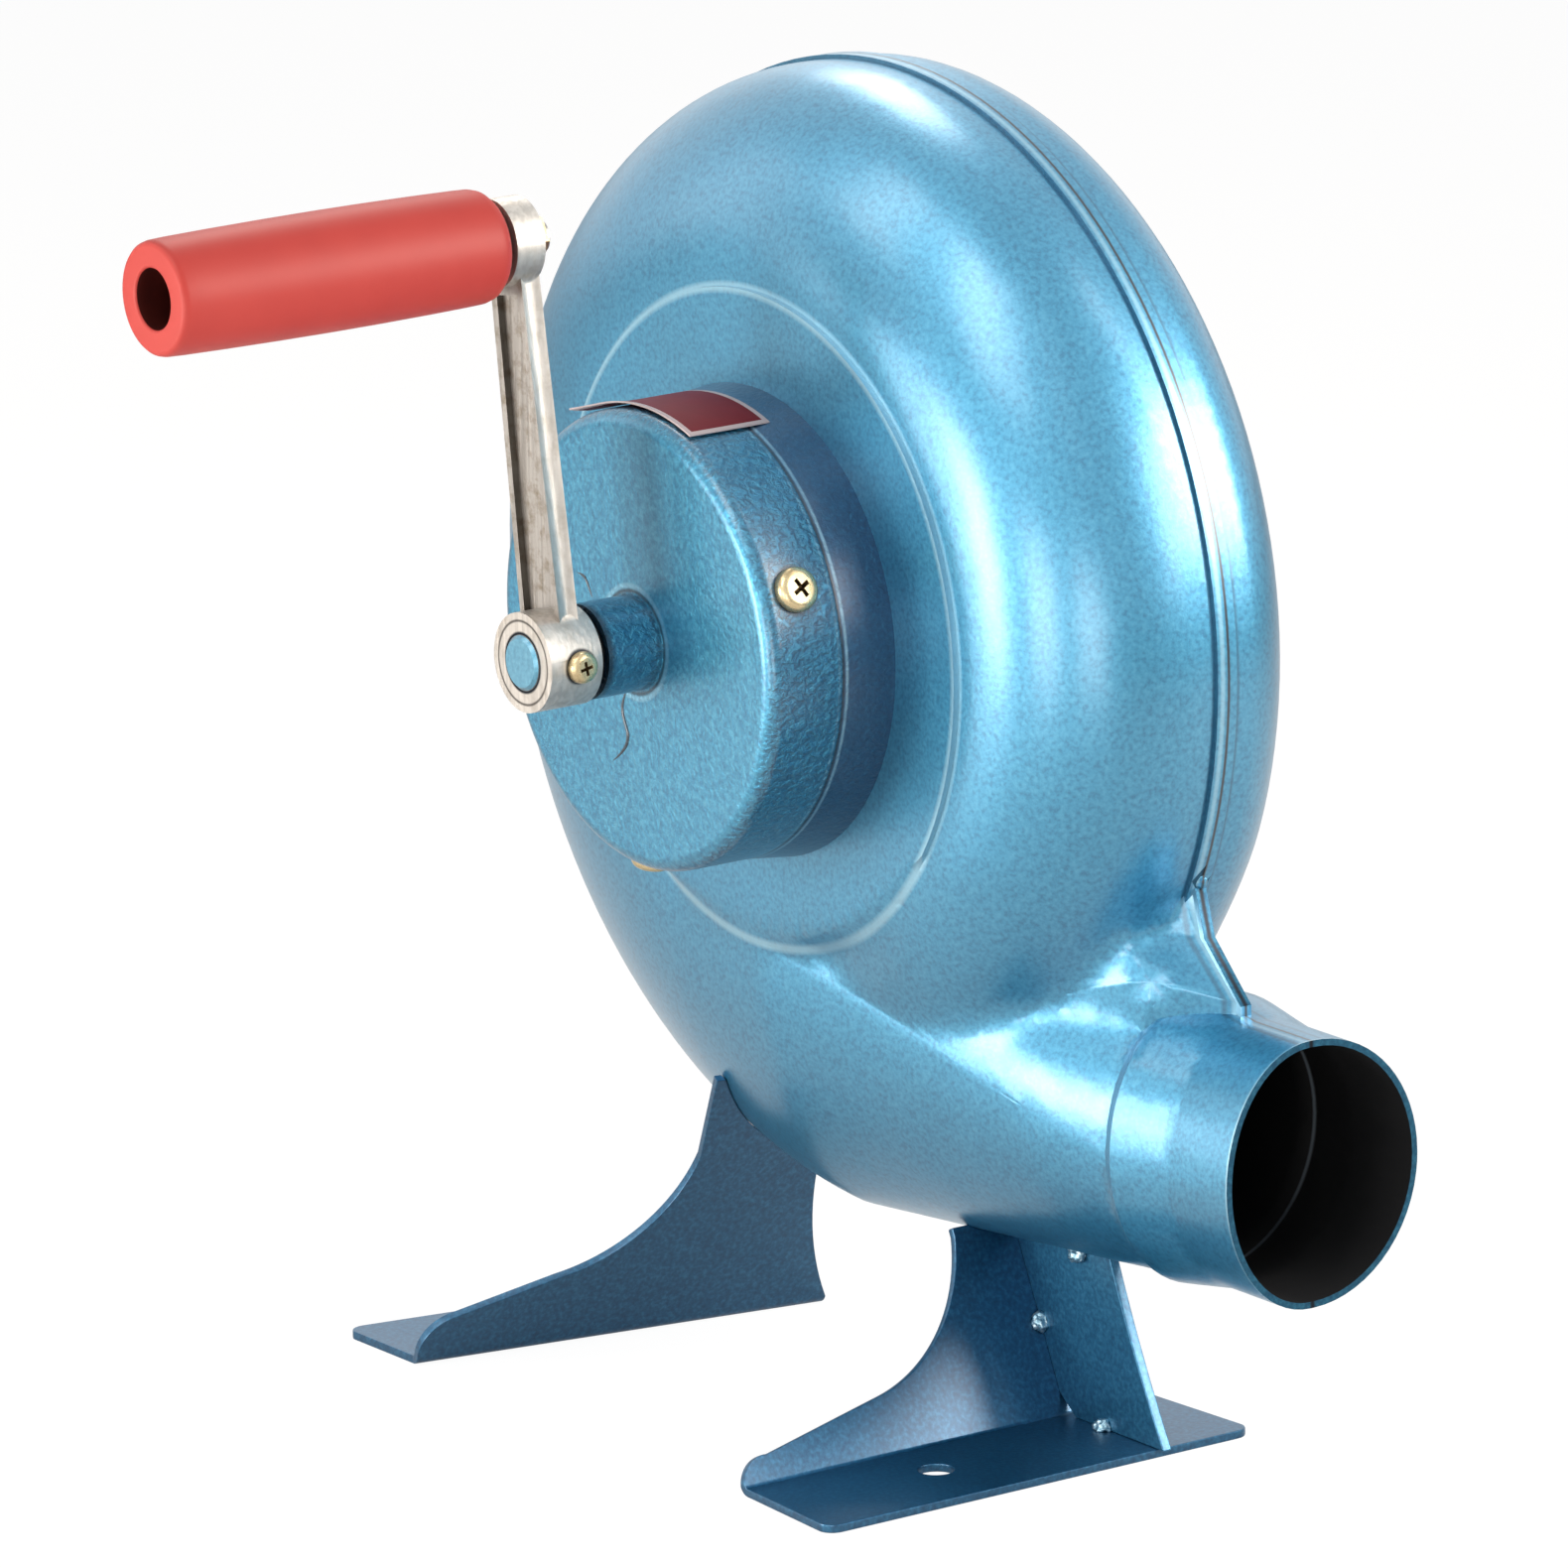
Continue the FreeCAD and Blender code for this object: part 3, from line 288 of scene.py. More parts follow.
# Hammertone: aluminium flakes gather in small soft cells as the enamel dries.
hammertone, given, result = group(
    "hammertone",
    [
        ("Cells per Metre", "Float", 1150.0),
        ("Body", "Color", enamel_body),
        ("Pool", "Color", enamel_pool),
        ("Flake", "Color", enamel_flake),
    ],
    [("Colour", "Color"), ("Roughness", "Float"), ("Height", "Float")],
)
point = object_point(hammertone)
cells = noise(hammertone, point, given["Cells per Metre"], 2.0, 0.55)
cloud = noise(hammertone, point, 45.0, 3.0)
sunk = spread(hammertone, cells, 0.50, 0.30)
risen = spread(hammertone, cells, 0.50, 0.72)
pooled = mixed(hammertone, sunk, given["Body"], given["Pool"])
flaked = mixed(hammertone, risen, pooled, given["Flake"])
sheen = spread(hammertone, cloud, 0.3, 0.7, 0.40, 0.46)
put(hammertone, result, {"Colour": flaked, "Roughness": sheen, "Height": cells})

# Line: a soft band where a distance is near a place, for dark joints, and for painted highlights and shade
# along seams, steps and rims.
line_mark, given, result = group(
    "line_mark",
    [("Distance", "Float", 0.0), ("Place", "Float", 0.0), ("Half Width", "Float", 0.0003)],
    [("Mask", "Float")],
)
off = calc(line_mark, "SUBTRACT", given["Distance"], given["Place"])
ratio = calc(line_mark, "DIVIDE", calc(line_mark, "ABSOLUTE", off), given["Half Width"])
put(line_mark, result, {"Mask": calc(line_mark, "SUBTRACT", 1.4, ratio, clamp=True)})

# Drift: a tone that wanders between two colours, and a height that goes with it.
drift, given, result = group(
    "drift",
    [("Scale", "Float", 120.0), ("Detail", "Float", 3.0), ("Low", "Color", black), ("High", "Color", white)],
    [("Colour", "Color"), ("Height", "Float")],
)
wander = noise(drift, object_point(drift), given["Scale"], given["Detail"])
put(drift, result, {"Colour": mixed(drift, wander, given["Low"], given["High"]), "Height": wander})


def measures(tree):
    """Distances that line marks follow: across, along, and out from the axle."""
    point = object_point(tree)
    split = add(tree, "ShaderNodeSeparateXYZ", {0: point}).outputs
    flat = add(tree, "ShaderNodeVectorMath", {0: point, 1: (1, 0, 1)}, operation="MULTIPLY")
    return {
        "across": split["X"],
        "depth": split["Y"],
        "ring": away(tree, flat.outputs[0], (axle[0], 0, axle[2])),
        "point": point,
    }


def lined(tree, colour, lines):
    """Colour with line marks over it; each is (measure, place, half width, tint, strength)."""
    distances = measures(tree)
    for measure, place, half_width, tint, strength in lines:
        if isinstance(measure, Vector):
            distance = away(tree, distances["point"], measure)
        else:
            distance = distances[measure]
        mark = effect(tree, line_mark, {"Distance": distance, "Place": place, "Half Width": half_width})
        colour = mixed(tree, calc(tree, "MULTIPLY", mark["Mask"], strength), colour, tint)
    return colour


def enamelled(name, body, pool, flake, lines=(), gloss=1.0):
    """Blue hammertone enamel in three tones, with its lines and its share of gloss."""
    material, tree, paint = shader(name)
    enamel = effect(tree, hammertone, {"Body": body, "Pool": pool, "Flake": flake})
    put(tree, paint, {
        "Base Color": lined(tree, enamel["Colour"], lines),
        "Roughness": enamel["Roughness"],
        "Metallic": 0.85,
        "Coat Weight": gloss,
        "Coat Roughness": 0.28,
        "Coat IOR": 1.7,
        "Normal": bumped(tree, enamel["Height"], 0.5, 0.00010),
    })
    return material


def plain(name, low, high, scale, rough, specular, grain=None, lines=()):
    """A finish whose tone drifts between two colours; a grain is (scale, detail, strength, depth)."""
    material, tree, paint = shader(name)
    tone = effect(tree, drift, {"Scale": scale, "Low": low, "High": high})
    put(tree, paint, {
        "Base Color": lined(tree, tone["Colour"], lines),
        "Roughness": rough,
        "Specular IOR Level": specular,
    })
    if grain:
        grain_scale, detail, strength, depth = grain
        grit = effect(tree, drift, {"Scale": grain_scale, "Detail": detail})
        put(tree, paint, {"Normal": bumped(tree, grit["Height"], strength, depth)})
    return material


# Pale lines along the front bead, round the raised field's step and round the mouth are painted highlights; the
# dark bands either side of the seam are painted shade; the seam line itself is the dark joint.
shell_enamel = enamelled("shell_enamel", enamel_body, enamel_pool, enamel_flake, [
    ("depth", seam_y - 0.0013, 0.0005, painted_edge_highlight, 0.45),
    ("depth", seam_y - 0.0027, 0.0004, seam_shade, 0.6),
    ("depth", seam_y + 0.0026, 0.0004, seam_shade, 0.6),
    ("depth", seam_y, 0.0003, dark_joint_and_gap_shade, 1.0),
    ("ring", step_radius, 0.0009, painted_edge_highlight, 0.6),
    ("across", mouth_x, 0.0004, painted_edge_highlight, 0.7),
])
# Dark enamel for the web's joint edge, a dark joint, and for the mouth's end face, painted shade.
dark_joint_and_rim_shade_enamel = enamelled(
    "dark_joint_and_rim_shade_enamel", (0.010, 0.080, 0.145, 1), (0.006, 0.055, 0.110, 1), (0.020, 0.120, 0.200, 1),
    [("depth", seam_y, 0.0005, dark_joint_and_gap_shade, 1.0)], gloss=0.1,
)
# Painted shade: the inner skin is near black for the dark hollow; the paler line along the collar's inner step
# is a painted highlight.
inside_painted_shade = plain(
    "inside_painted_shade", (0.003, 0.004, 0.005, 1), (0.010, 0.011, 0.013, 1), 120.0, 0.7, 0.25,
    lines=[("across", collar_x, 0.0003, (0.10, 0.13, 0.16, 1), 1.0)],
)


def only(piece):
    """Make one object the selected and active one."""
    bpy.ops.object.select_all(action="DESELECT")
    piece.select_set(True)
    bpy.context.view_layer.objects.active = piece


def worked(piece, name, kind, **settings):
    """Put a modifier on a piece and apply it."""
    only(piece)
    modifier = piece.modifiers.new(name, kind)
    for key, value in settings.items():
        setattr(modifier, key, value)
    bpy.ops.object.modifier_apply(modifier=modifier.name)


def copied(node):
    """A copy of a piece's solid with its loose faces merged."""
    only(frame["nodes"][node])
    bpy.ops.object.duplicate()
    piece = bpy.context.object
    piece.name = node + "_finished"
    bpy.ops.object.mode_set(mode="EDIT")
    bpy.ops.mesh.select_all(action="SELECT")
    bpy.ops.mesh.remove_doubles(threshold=0.000001)
    bpy.ops.object.mode_set(mode="OBJECT")
    bpy.ops.mesh.customdata_custom_splitnormals_clear()
    return piece


def dressed(piece, body, material, sharp=32):
    """Shade a piece smooth up to its real edges, paint it and let it ride."""
    only(piece)
    bpy.ops.object.shade_smooth_by_angle(angle=math.radians(sharp))
    worked(piece, "even_faces", "WEIGHTED_NORMAL", keep_sharp=True)
    piece.data.materials.clear()
    piece.data.materials.append(material)
    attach(piece, body)
    return piece


def edges_where(piece, wanted):
    """The edges whose two ends pass a test."""
    points = piece.data.vertices
    return [edge.index for edge in piece.data.edges if wanted(*(points[i].co for i in edge.vertices))]


def faces_where(piece, wanted):
    """The faces that pass a test."""
    return [face.index for face in piece.data.polygons if wanted(face)]


def pick(piece, kind, numbers):
    """Enter edit mode with only these edges or faces selected."""
    bpy.ops.object.mode_set(mode="EDIT")
    bpy.ops.mesh.select_mode(type=kind)
    bpy.ops.mesh.select_all(action="DESELECT")
    bpy.ops.object.mode_set(mode="OBJECT")
    parts = piece.data.edges if kind == "EDGE" else piece.data.polygons
    for number in numbers:
        parts[number].select = True
    bpy.ops.object.mode_set(mode="EDIT")


hollow_left = axle[0] - 0.030
hollow_low = axle[2] - 0.108
hollow_high = axle[2] - 0.034
hollow_fade = 0.010
web_left = axle[0] + 0.080
web_right = axle[0] + 0.100
web_low = axle[2] - 0.057
web_high = axle[2] - 0.036
collar_gap = 0.002
joint_band = 0.0025
joint_fade = 0.006
joint_edge = 0.0014
rim_depth = 0.0005
longest_edge = 0.0026


def hollow_share(point):
    """How far a point takes part in the soft hollow, from 0 at its border to 1."""
    end = web_right if point.z > web_low else collar_x - collar_gap
    margin = min(point.x - hollow_left, end - point.x, point.z - hollow_low, hollow_high - point.z)
    beside_joint = abs(point.y - seam_y) - joint_band
    return max(0.0, min(1.0, margin / hollow_fade, beside_joint / joint_fade))


def soften_hollow(shell):
    """Let the scroll flow into the duct, as the press leaves it, instead of meeting at an edge."""
    only(shell)
    for _ in range(5):
        long_ones = edges_where(
            shell,
            lambda a, b: (a - b).length > longest_edge and max(hollow_share(a), hollow_share(b)) > 0,
        )
        if long_ones:
            pick(shell, "EDGE", long_ones)
            bpy.ops.mesh.subdivide(number_cuts=1)
            bpy.ops.mesh.quads_convert_to_tris()
            bpy.ops.object.mode_set(mode="OBJECT")
    hollow = shell.vertex_groups.new(name="hollow")
    for point in shell.data.vertices:
        share = hollow_share(point.co)
        if share > 0:
            hollow.add([point.index], share, "REPLACE")
    worked(shell, "planish", "SMOOTH", factor=0.5, iterations=30, vertex_group=hollow.name)
    shell.vertex_groups.clear()


def paint_inside_shade(shell, side):
    """Colour the inner skin near black, painted shade for the dark hollow: every face that a look from inside
    can meet.
    """
    scroll_middle = 0.075
    stations = [
        Vector((
            axle[0] + scroll_middle * math.cos(turn),
            seam_y + side * 0.012,
            axle[2] + scroll_middle * math.sin(turn),
        ))
        for turn in (math.radians(30 * step) for step in range(12))
    ]
    for across in (0.06, 0.08, 0.09, 0.10, 0.11):
        stations.append(Vector((across, seam_y + side * 0.006, outlet_z)))
    seen = set()
    for station in stations:
        for step in range(16):
            turn = math.radians(22.5 * step)
            for tilt in (0, side * 0.5, side * 2.0):
                look = Vector((math.cos(turn), tilt, math.sin(turn))).normalized()
                hit, _, _, face = shell.ray_cast(station, look)
                if hit:
                    seen.add(face)
    only(shell)
    shell.data.materials.append(inside_painted_shade)
    shell.active_material_index = 1
    pick(shell, "FACE", seen)
    bpy.ops.mesh.select_linked(delimit={"SHARP"})
    bpy.ops.object.material_slot_assign()
    bpy.ops.object.mode_set(mode="OBJECT")


def darken_edges(shell):
    """Colour the sheet's edges dark: the web's joint edge as the dark joint, the mouth's end face as painted
    shade.
    """
    shell.data.materials.append(dark_joint_and_rim_shade_enamel)
    for face in shell.data.polygons:
        on_joint = abs(face.center.y - seam_y) < joint_edge and abs(face.normal.y) < 0.5
        on_web = face.center.x > web_left and web_low < face.center.z < web_high
        on_mouth = face.normal.x > facing and face.center.x > mouth_x - rim_depth
        if on_joint and on_web or on_mouth:
            face.material_index = 2


rear_shell = copied("rear_shell")
soften_hollow(rear_shell)
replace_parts(dressed(rear_shell, "housing", shell_enamel), "rear_shell")
paint_inside_shade(rear_shell, 1)
darken_edges(rear_shell)

# The front shell: the crank side of the volute, pressed and painted like the
# rear one, with a raised round field that carries the gear case.
front_shell = copied("front_shell")
soften_hollow(front_shell)
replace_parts(dressed(front_shell, "housing", shell_enamel), "front_shell")
paint_inside_shade(front_shell, -1)
darken_edges(front_shell)

# A blob of weld closes the seam where the scroll meets the duct's heel, and a
# smaller one tacks the flange below it. Both lie half sunk in the joint.
slag = bpy.data.textures.new("slag", "CLOUDS")
slag.noise_scale = 0.0011
slag.noise_depth = 2


def lumpy(piece, voxel, swell):
    """Turn a plain bead into a frozen weld puddle with lumps and a crater or two."""
    worked(piece, "even", "REMESH", mode="VOXEL", voxel_size=voxel)
    worked(piece, "lumps", "DISPLACE", texture=slag, strength=swell, mid_level=0.55)


for name, offset, radius in (
    ("heel_weld", (0.0843, 0.0, -0.0366), 0.0017),
    ("flange_tack", (0.0908, 0.0004, -0.0518), 0.0010),
):
    centre = hub_centre + Vector(offset)
    bpy.ops.mesh.primitive_ico_sphere_add(subdivisions=4, radius=radius, location=centre)
    weld = bpy.context.object
    weld.name = name
    weld.scale = (0.9, 1.0, 1.2)
    bpy.ops.object.transform_apply()
    lumpy(weld, 0.0002, radius * 0.55)
    dressed(weld, "housing", shell_enamel, 80)

# The feet: one bent sheet under each side, sheared to a swept outline and spot
# welded to the volute, with the gusset under the outlet. Sprayed with the shells,
# they have less gloss, and their enamel is a darker copy of the shells': painted
# shade for the housing's shadow over them. Their sheared edges are slightly broken.
foot_enamel_painted_shade = enamelled(
    "foot_enamel_painted_shade", (0.008, 0.088, 0.185, 1), (0.005, 0.062, 0.140, 1), (0.020, 0.135, 0.255, 1), gloss=0.5,
)
gusset_enamel_painted_shade = enamelled(
    "gusset_enamel_painted_shade", (0.014, 0.135, 0.255, 1), (0.008, 0.095, 0.195, 1), (0.032, 0.190, 0.330, 1), gloss=0.5,
)


def merge_flats(piece):
    """Join the facets of each flat surface into one face."""
    only(piece)
    bpy.ops.object.mode_set(mode="EDIT")
    bpy.ops.mesh.select_all(action="SELECT")
    bpy.ops.mesh.dissolve_limited(angle_limit=math.radians(0.8))
    bpy.ops.object.mode_set(mode="OBJECT")


def broken_edges(piece, width, angle=50):
    """Take the sharpness off sheared or cast edges."""
    merge_flats(piece)
    worked(
        piece, "rub", "BEVEL",
        limit_method="ANGLE", angle_limit=math.radians(angle), width=width, segments=2,
    )


for node in ("right_foot", "left_foot", "foot_gusset"):
    sheet = copied(node)
    broken_edges(sheet, 0.0003)
    coat = gusset_enamel_painted_shade if node == "foot_gusset" else foot_enamel_painted_shade
    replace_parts(dressed(sheet, "housing", coat), node)

weld_enamel = enamelled("weld_enamel", (0.20, 0.40, 0.52, 1), (0.05, 0.16, 0.25, 1), (0.62, 0.74, 0.80, 1))
welds = copied("foot_welds")
lumpy(welds, 0.00025, 0.0011)
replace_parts(dressed(welds, "housing", weld_enamel, 80), "foot_welds")

# The gear case: an iron base ring and a cup cover, left as cast and painted. The
# cover's wall is wrinkled like leather, its face is finer, and both seams show dark.
# The base ring's enamel is a darker copy of the cover's, painted shade, and the
# cover's wall and its pits are darkened with painted shade.
case_radius = 0.042
boss_radius = 0.0087
case_front_y, case_joint_y = (corner.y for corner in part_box("gear_cover"))
case_rear_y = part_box("gear_case_base")[1].y
cover_face_y = seam_y - 0.0622
cover_screw_y = cover_face_y + 0.0076
cover_screw_head = 0.0041
cover_screw_turns = [math.radians(22 + 120 * step) for step in range(3)]
cover_screw_seats = [
    Vector((axle[0] + case_radius * math.cos(turn), cover_screw_y, axle[2] + case_radius * math.sin(turn)))
    for turn in cover_screw_turns
]
# Painted shade: the dark blue that the cover's wall and its pits are mixed towards.
pit_and_wall_painted_shade = (0.006, 0.060, 0.125, 1)
cover_tones = ((0.030, 0.235, 0.390, 1), (0.016, 0.165, 0.300, 1), (0.060, 0.310, 0.470, 1))
# Painted shade: the base ring's tones are darker copies of the cover's.
base_tones_painted_shade = ((0.003, 0.060, 0.145, 1), (0.002, 0.044, 0.112, 1), (0.008, 0.090, 0.185, 1))

# Cast skin: sand wrinkles pressed in one direction, with fine grit over them.
cast_skin, given, result = group(
    "cast_skin",
    [("Wrinkles per Metre", "Float", 820.0), ("Share", "Float", 1.0)],
    [("Height", "Float"), ("Pits", "Float")],
)
point = object_point(cast_skin)
pressed = add(cast_skin, "ShaderNodeMapping", {
    "Vector": point, "Rotation": (0.0, 0.6, 0.5), "Scale": (1.0, 0.8, 1.0),
}).outputs[0]
folds = noise(cast_skin, pressed, given["Wrinkles per Metre"], 3.0, distortion=0.35)
grit = noise(cast_skin, point, 1300.0, 2.0)
ridge = spread(cast_skin, folds, 0.36, 0.64, interpolation_type="SMOOTHSTEP")
deep = calc(cast_skin, "MULTIPLY", ridge, given["Share"])
height = calc(cast_skin, "ADD", deep, calc(cast_skin, "MULTIPLY", grit, 0.30))
put(cast_skin, result, {"Height": height, "Pits": calc(cast_skin, "SUBTRACT", given["Share"], deep)})


def cast_enamelled(name, tones, wall_share, face_share, depth, lines):
    """Hammertone enamel over cast skin that is rougher on the wall than on the face, with its wall and pits
    darkened as painted shade.
    """
    material = enamelled(name, *tones, lines, gloss=0.8)
    tree = material.node_tree
    paint = tree.nodes["Principled BSDF"]
    ring = measures(tree)["ring"]
    wall = spread(tree, ring, case_radius - 0.0016, case_radius - 0.0003, face_share, wall_share)
    boss = spread(tree, ring, boss_radius + 0.0006, boss_radius + 0.0002, 0.0, wall_share * 0.7)
    share = calc(tree, "MAXIMUM", wall, boss)
    skin = effect(tree, cast_skin, {"Share": share})
    # Painted shade: how far the wall and its pits are darkened.
    sunk = calc(tree, "MULTIPLY_ADD", skin["Pits"], 0.22, calc(tree, "MULTIPLY", share, 0.38))
    colour = paint.inputs["Base Color"].links[0].from_socket
    put(tree, paint, {
        "Base Color": mixed(tree, sunk, colour, pit_and_wall_painted_shade),
        "Normal": bumped(tree, skin["Height"], 1.0, depth),
    })
    return material


# On the cover, the dark rings at the boss root, in front of the boss and round each screw head are painted
# shade, the pale lines beside the boss and joint painted highlights, and the joint line the dark joint.
cover_enamel = cast_enamelled("cover_enamel", cover_tones, 1.0, 0.06, 0.00036, [
    ("ring", boss_radius + 0.0007, 0.0004, dark_joint_and_gap_shade, 0.75),
    ("ring", boss_radius + 0.0016, 0.0005, painted_edge_highlight, 0.3),
    ("depth", case_joint_y, 0.0003, dark_joint_and_gap_shade, 1.0),
    ("depth", case_joint_y - 0.0008, 0.00025, painted_edge_highlight, 0.35),
    ("depth", case_front_y, 0.0013, dark_joint_and_gap_shade, 0.95),
] + [
    (seat, cover_screw_head - 0.0001, 0.0006, dark_joint_and_gap_shade, 0.9) for seat in cover_screw_seats
])
# On the base, the pale line beside the joint is a painted highlight.
base_enamel_painted_shade = cast_enamelled("base_enamel_painted_shade", base_tones_painted_shade, 0.35, 0.22, 0.00030, [
    ("depth", case_joint_y, 0.0003, dark_joint_and_gap_shade, 1.0),
    ("depth", case_joint_y + 0.0008, 0.00030, painted_edge_highlight, 0.5),
    ("depth", case_rear_y, 0.0004, dark_joint_and_gap_shade, 0.7),
])
gear_base = copied("gear_case_base")
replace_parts(dressed(gear_base, "housing", base_enamel_painted_shade), "gear_case_base")
gear_cover = copied("gear_cover")
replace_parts(dressed(gear_cover, "housing", cover_enamel), "gear_cover")

# Runs of enamel: thin raised threads where paint ran below the boss and behind
# the crank before it dried. They are coloured near black: painted shade along each
# thread.
run_painted_shade = (0.004, 0.020, 0.038, 1)
run_thickness = 0.0003
run_rise = 0.0001
run_enamel_painted_shade = enamelled("run_enamel_painted_shade", run_painted_shade, run_painted_shade, (0.02, 0.07, 0.11, 1))
run_lines = {
    # millimetres across and up from the axle, and the share of the thickness
    "run_below_boss": [
        (-2.4, -8.9, 0.5), (-3.4, -10.8, 1.0), (-4.1, -13.2, 1.2), (-3.2, -15.4, 1.3),
        (-2.0, -17.7, 1.4), (-3.4, -20.7, 1.2), (-7.2, -23.3, 0.4),
    ],
    "run_behind_crank": [(-17.3, 9.6, 0.4), (-15.8, 9.6, 1.0), (-14.2, 8.7, 1.2), (-12.8, 5.9, 0.5)],
}
for name, route in run_lines.items():
    bpy.ops.curve.primitive_nurbs_path_add()
    paint_run = bpy.context.object
    paint_run.name = name
    paint_run.data.splines.clear()
    thread = paint_run.data.splines.new("NURBS")
    thread.points.add(len(route) - 1)
    for point, (across, height, share) in zip(thread.points, route):
        point.co = (axle[0] + across / 1000, cover_face_y + run_rise, axle[2] + height / 1000, 1)
        point.radius = share
    thread.order_u = 3
    thread.use_endpoint_u = True
    paint_run.data.dimensions = "3D"
    paint_run.data.bevel_depth = run_thickness
    paint_run.data.bevel_resolution = 3
    paint_run.data.use_fill_caps = True
    bpy.ops.object.convert(target="MESH")
    dressed(bpy.context.object, "housing", run_enamel_painted_shade, 80)

# The plate: a bare dark red lacquered tin plate with a pale border, bent over the
# top of the gear case. Its far end and the front edge near it lift off a little.
plate_from, plate_to = math.radians(70), math.radians(121)
plate_front_y, plate_rear_y = seam_y - 0.0594, seam_y - 0.0420
plate_radius = case_radius + 0.0004
plate_border = 0.001
plate_sheet = 0.0003
plate_steps = 38
end_curl_from = math.radians(108)
end_curl_lift = 0.0013
front_curl_width = 0.005
front_curl_lift = 0.0008


def spun(name, moves, steps, angle):
    """Draw an outline from one point, move by move, and spin it round the Y axis."""
    bpy.ops.mesh.primitive_plane_add(size=0.001)
    piece = bpy.context.object
    piece.name = name
    bpy.ops.object.mode_set(mode="EDIT")
    bpy.ops.mesh.select_mode(type="VERT")
    bpy.ops.mesh.select_all(action="SELECT")
    bpy.ops.mesh.merge(type="CENTER")
    bpy.ops.transform.translate(value=moves[0])
    for move in moves[1:]:
        bpy.ops.mesh.extrude_region_move(TRANSFORM_OT_translate={"value": move})
    bpy.ops.mesh.select_all(action="SELECT")
    bpy.ops.mesh.spin(steps=steps, angle=angle, center=(0, 0, 0), axis=(0, 1, 0))
    bpy.ops.object.mode_set(mode="OBJECT")
    return piece


def lacquered(name, low, high):
    """Plain lacquer, slightly uneven."""
    return plain(name, low, high, 260.0, 0.5, 0.15, (260.0, 3.0, 0.2, 0.0001))


plate_span = plate_to - plate_from
plate_corner = (plate_radius * math.cos(plate_from), plate_front_y, plate_radius * math.sin(plate_from))
middle_width = (plate_rear_y - plate_front_y - 2 * plate_border) / 6
plate_widths = [plate_border] + [middle_width] * 6 + [plate_border]
plate = spun("red_plate", [plate_corner] + [(0, width, 0) for width in plate_widths], plate_steps, plate_span)
for point in plate.data.vertices:
    turn = math.atan2(point.co.z, point.co.x)
    end_curl = max(0.0, (turn - end_curl_from) / (plate_to - end_curl_from)) ** 2
    front_curl = max(0.0, (plate_front_y + front_curl_width - point.co.y) / front_curl_width) ** 2
    front_curl *= max(0.0, (turn - plate_from) / plate_span)
    lift = 1 + (end_curl_lift * end_curl + front_curl_lift * front_curl) / plate_radius
    point.co.x *= lift
    point.co.z *= lift
plate.location = (axle[0], 0, axle[2])
bpy.ops.object.transform_apply()
bpy.ops.object.mode_set(mode="EDIT")
bpy.ops.mesh.select_all(action="SELECT")
bpy.ops.mesh.normals_make_consistent(inside=False)
bpy.ops.object.mode_set(mode="OBJECT")
first_face = plate.data.polygons[0]
if first_face.normal.dot(first_face.center - Vector(axle)) < 0:
    bpy.ops.object.mode_set(mode="EDIT")
    bpy.ops.mesh.flip_normals()
    bpy.ops.object.mode_set(mode="OBJECT")

plate_red = lacquered("plate_red", (0.130, 0.003, 0.006, 1), (0.180, 0.005, 0.010, 1))
plate_pale = lacquered("plate_pale", (0.50, 0.42, 0.44, 1), (0.62, 0.56, 0.57, 1))
plate.data.materials.append(plate_red)
plate.data.materials.append(plate_pale)
for face in plate.data.polygons:
    turn = math.atan2(face.center.z - axle[2], face.center.x - axle[0])
    end_gap = min(turn - plate_from, plate_to - turn) * plate_radius
    side_gap = min(face.center.y - plate_front_y, plate_rear_y - face.center.y)
    if min(end_gap, side_gap) < plate_border:
        face.material_index = 1
worked(plate, "thick", "SOLIDIFY", thickness=plate_sheet, offset=1, material_offset_rim=0)
bpy.ops.object.shade_smooth_by_angle(angle=math.radians(40))
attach(plate, "housing")

# Turned, ground and plated metal: the gears, shafts, bearings, screws and fan.
# Each has fine tool marks along its lay and darker grime in patches.
worked_metal, given, result = group(
    "worked_metal",
    [("Marks per Metre", "Float", 1200.0), ("Stain from", "Float", 0.45), ("Lay", "Vector", (1.0, 1.0, 1.0))],
    [("Marks", "Float"), ("Stain", "Float")],
)
point = object_point(worked_metal)
along_lay = add(worked_metal, "ShaderNodeVectorMath", {0: point, 1: given["Lay"]}, operation="MULTIPLY")
marks = noise(worked_metal, along_lay.outputs[0], given["Marks per Metre"], 3.0, 0.6)
patch = noise(worked_metal, point, 170.0, 5.0, 0.6)
stain_to = calc(worked_metal, "ADD", given["Stain from"], 0.22)
stain = spread(worked_metal, patch, given["Stain from"], stain_to)
put(worked_metal, result, {"Marks": marks, "Stain": stain})


def metal(name, colour, grime, rough, lay=(1.0, 1.0, 1.0), stain_from=0.45):
    """Bare or plated metal with tool marks along its lay and grime in patches."""
    material, tree, paint = shader(name)
    work = effect(tree, worked_metal, {"Lay": lay, "Stain from": stain_from})
    put(tree, paint, {
        "Base Color": mixed(tree, work["Stain"], colour, grime),
        "Roughness": spread(tree, work["Marks"], 0.3, 0.7, rough, rough + 0.14),
        "Metallic": 0.9,
        "Normal": bumped(tree, work["Marks"], 0.6, 0.00003),
    })
    return material


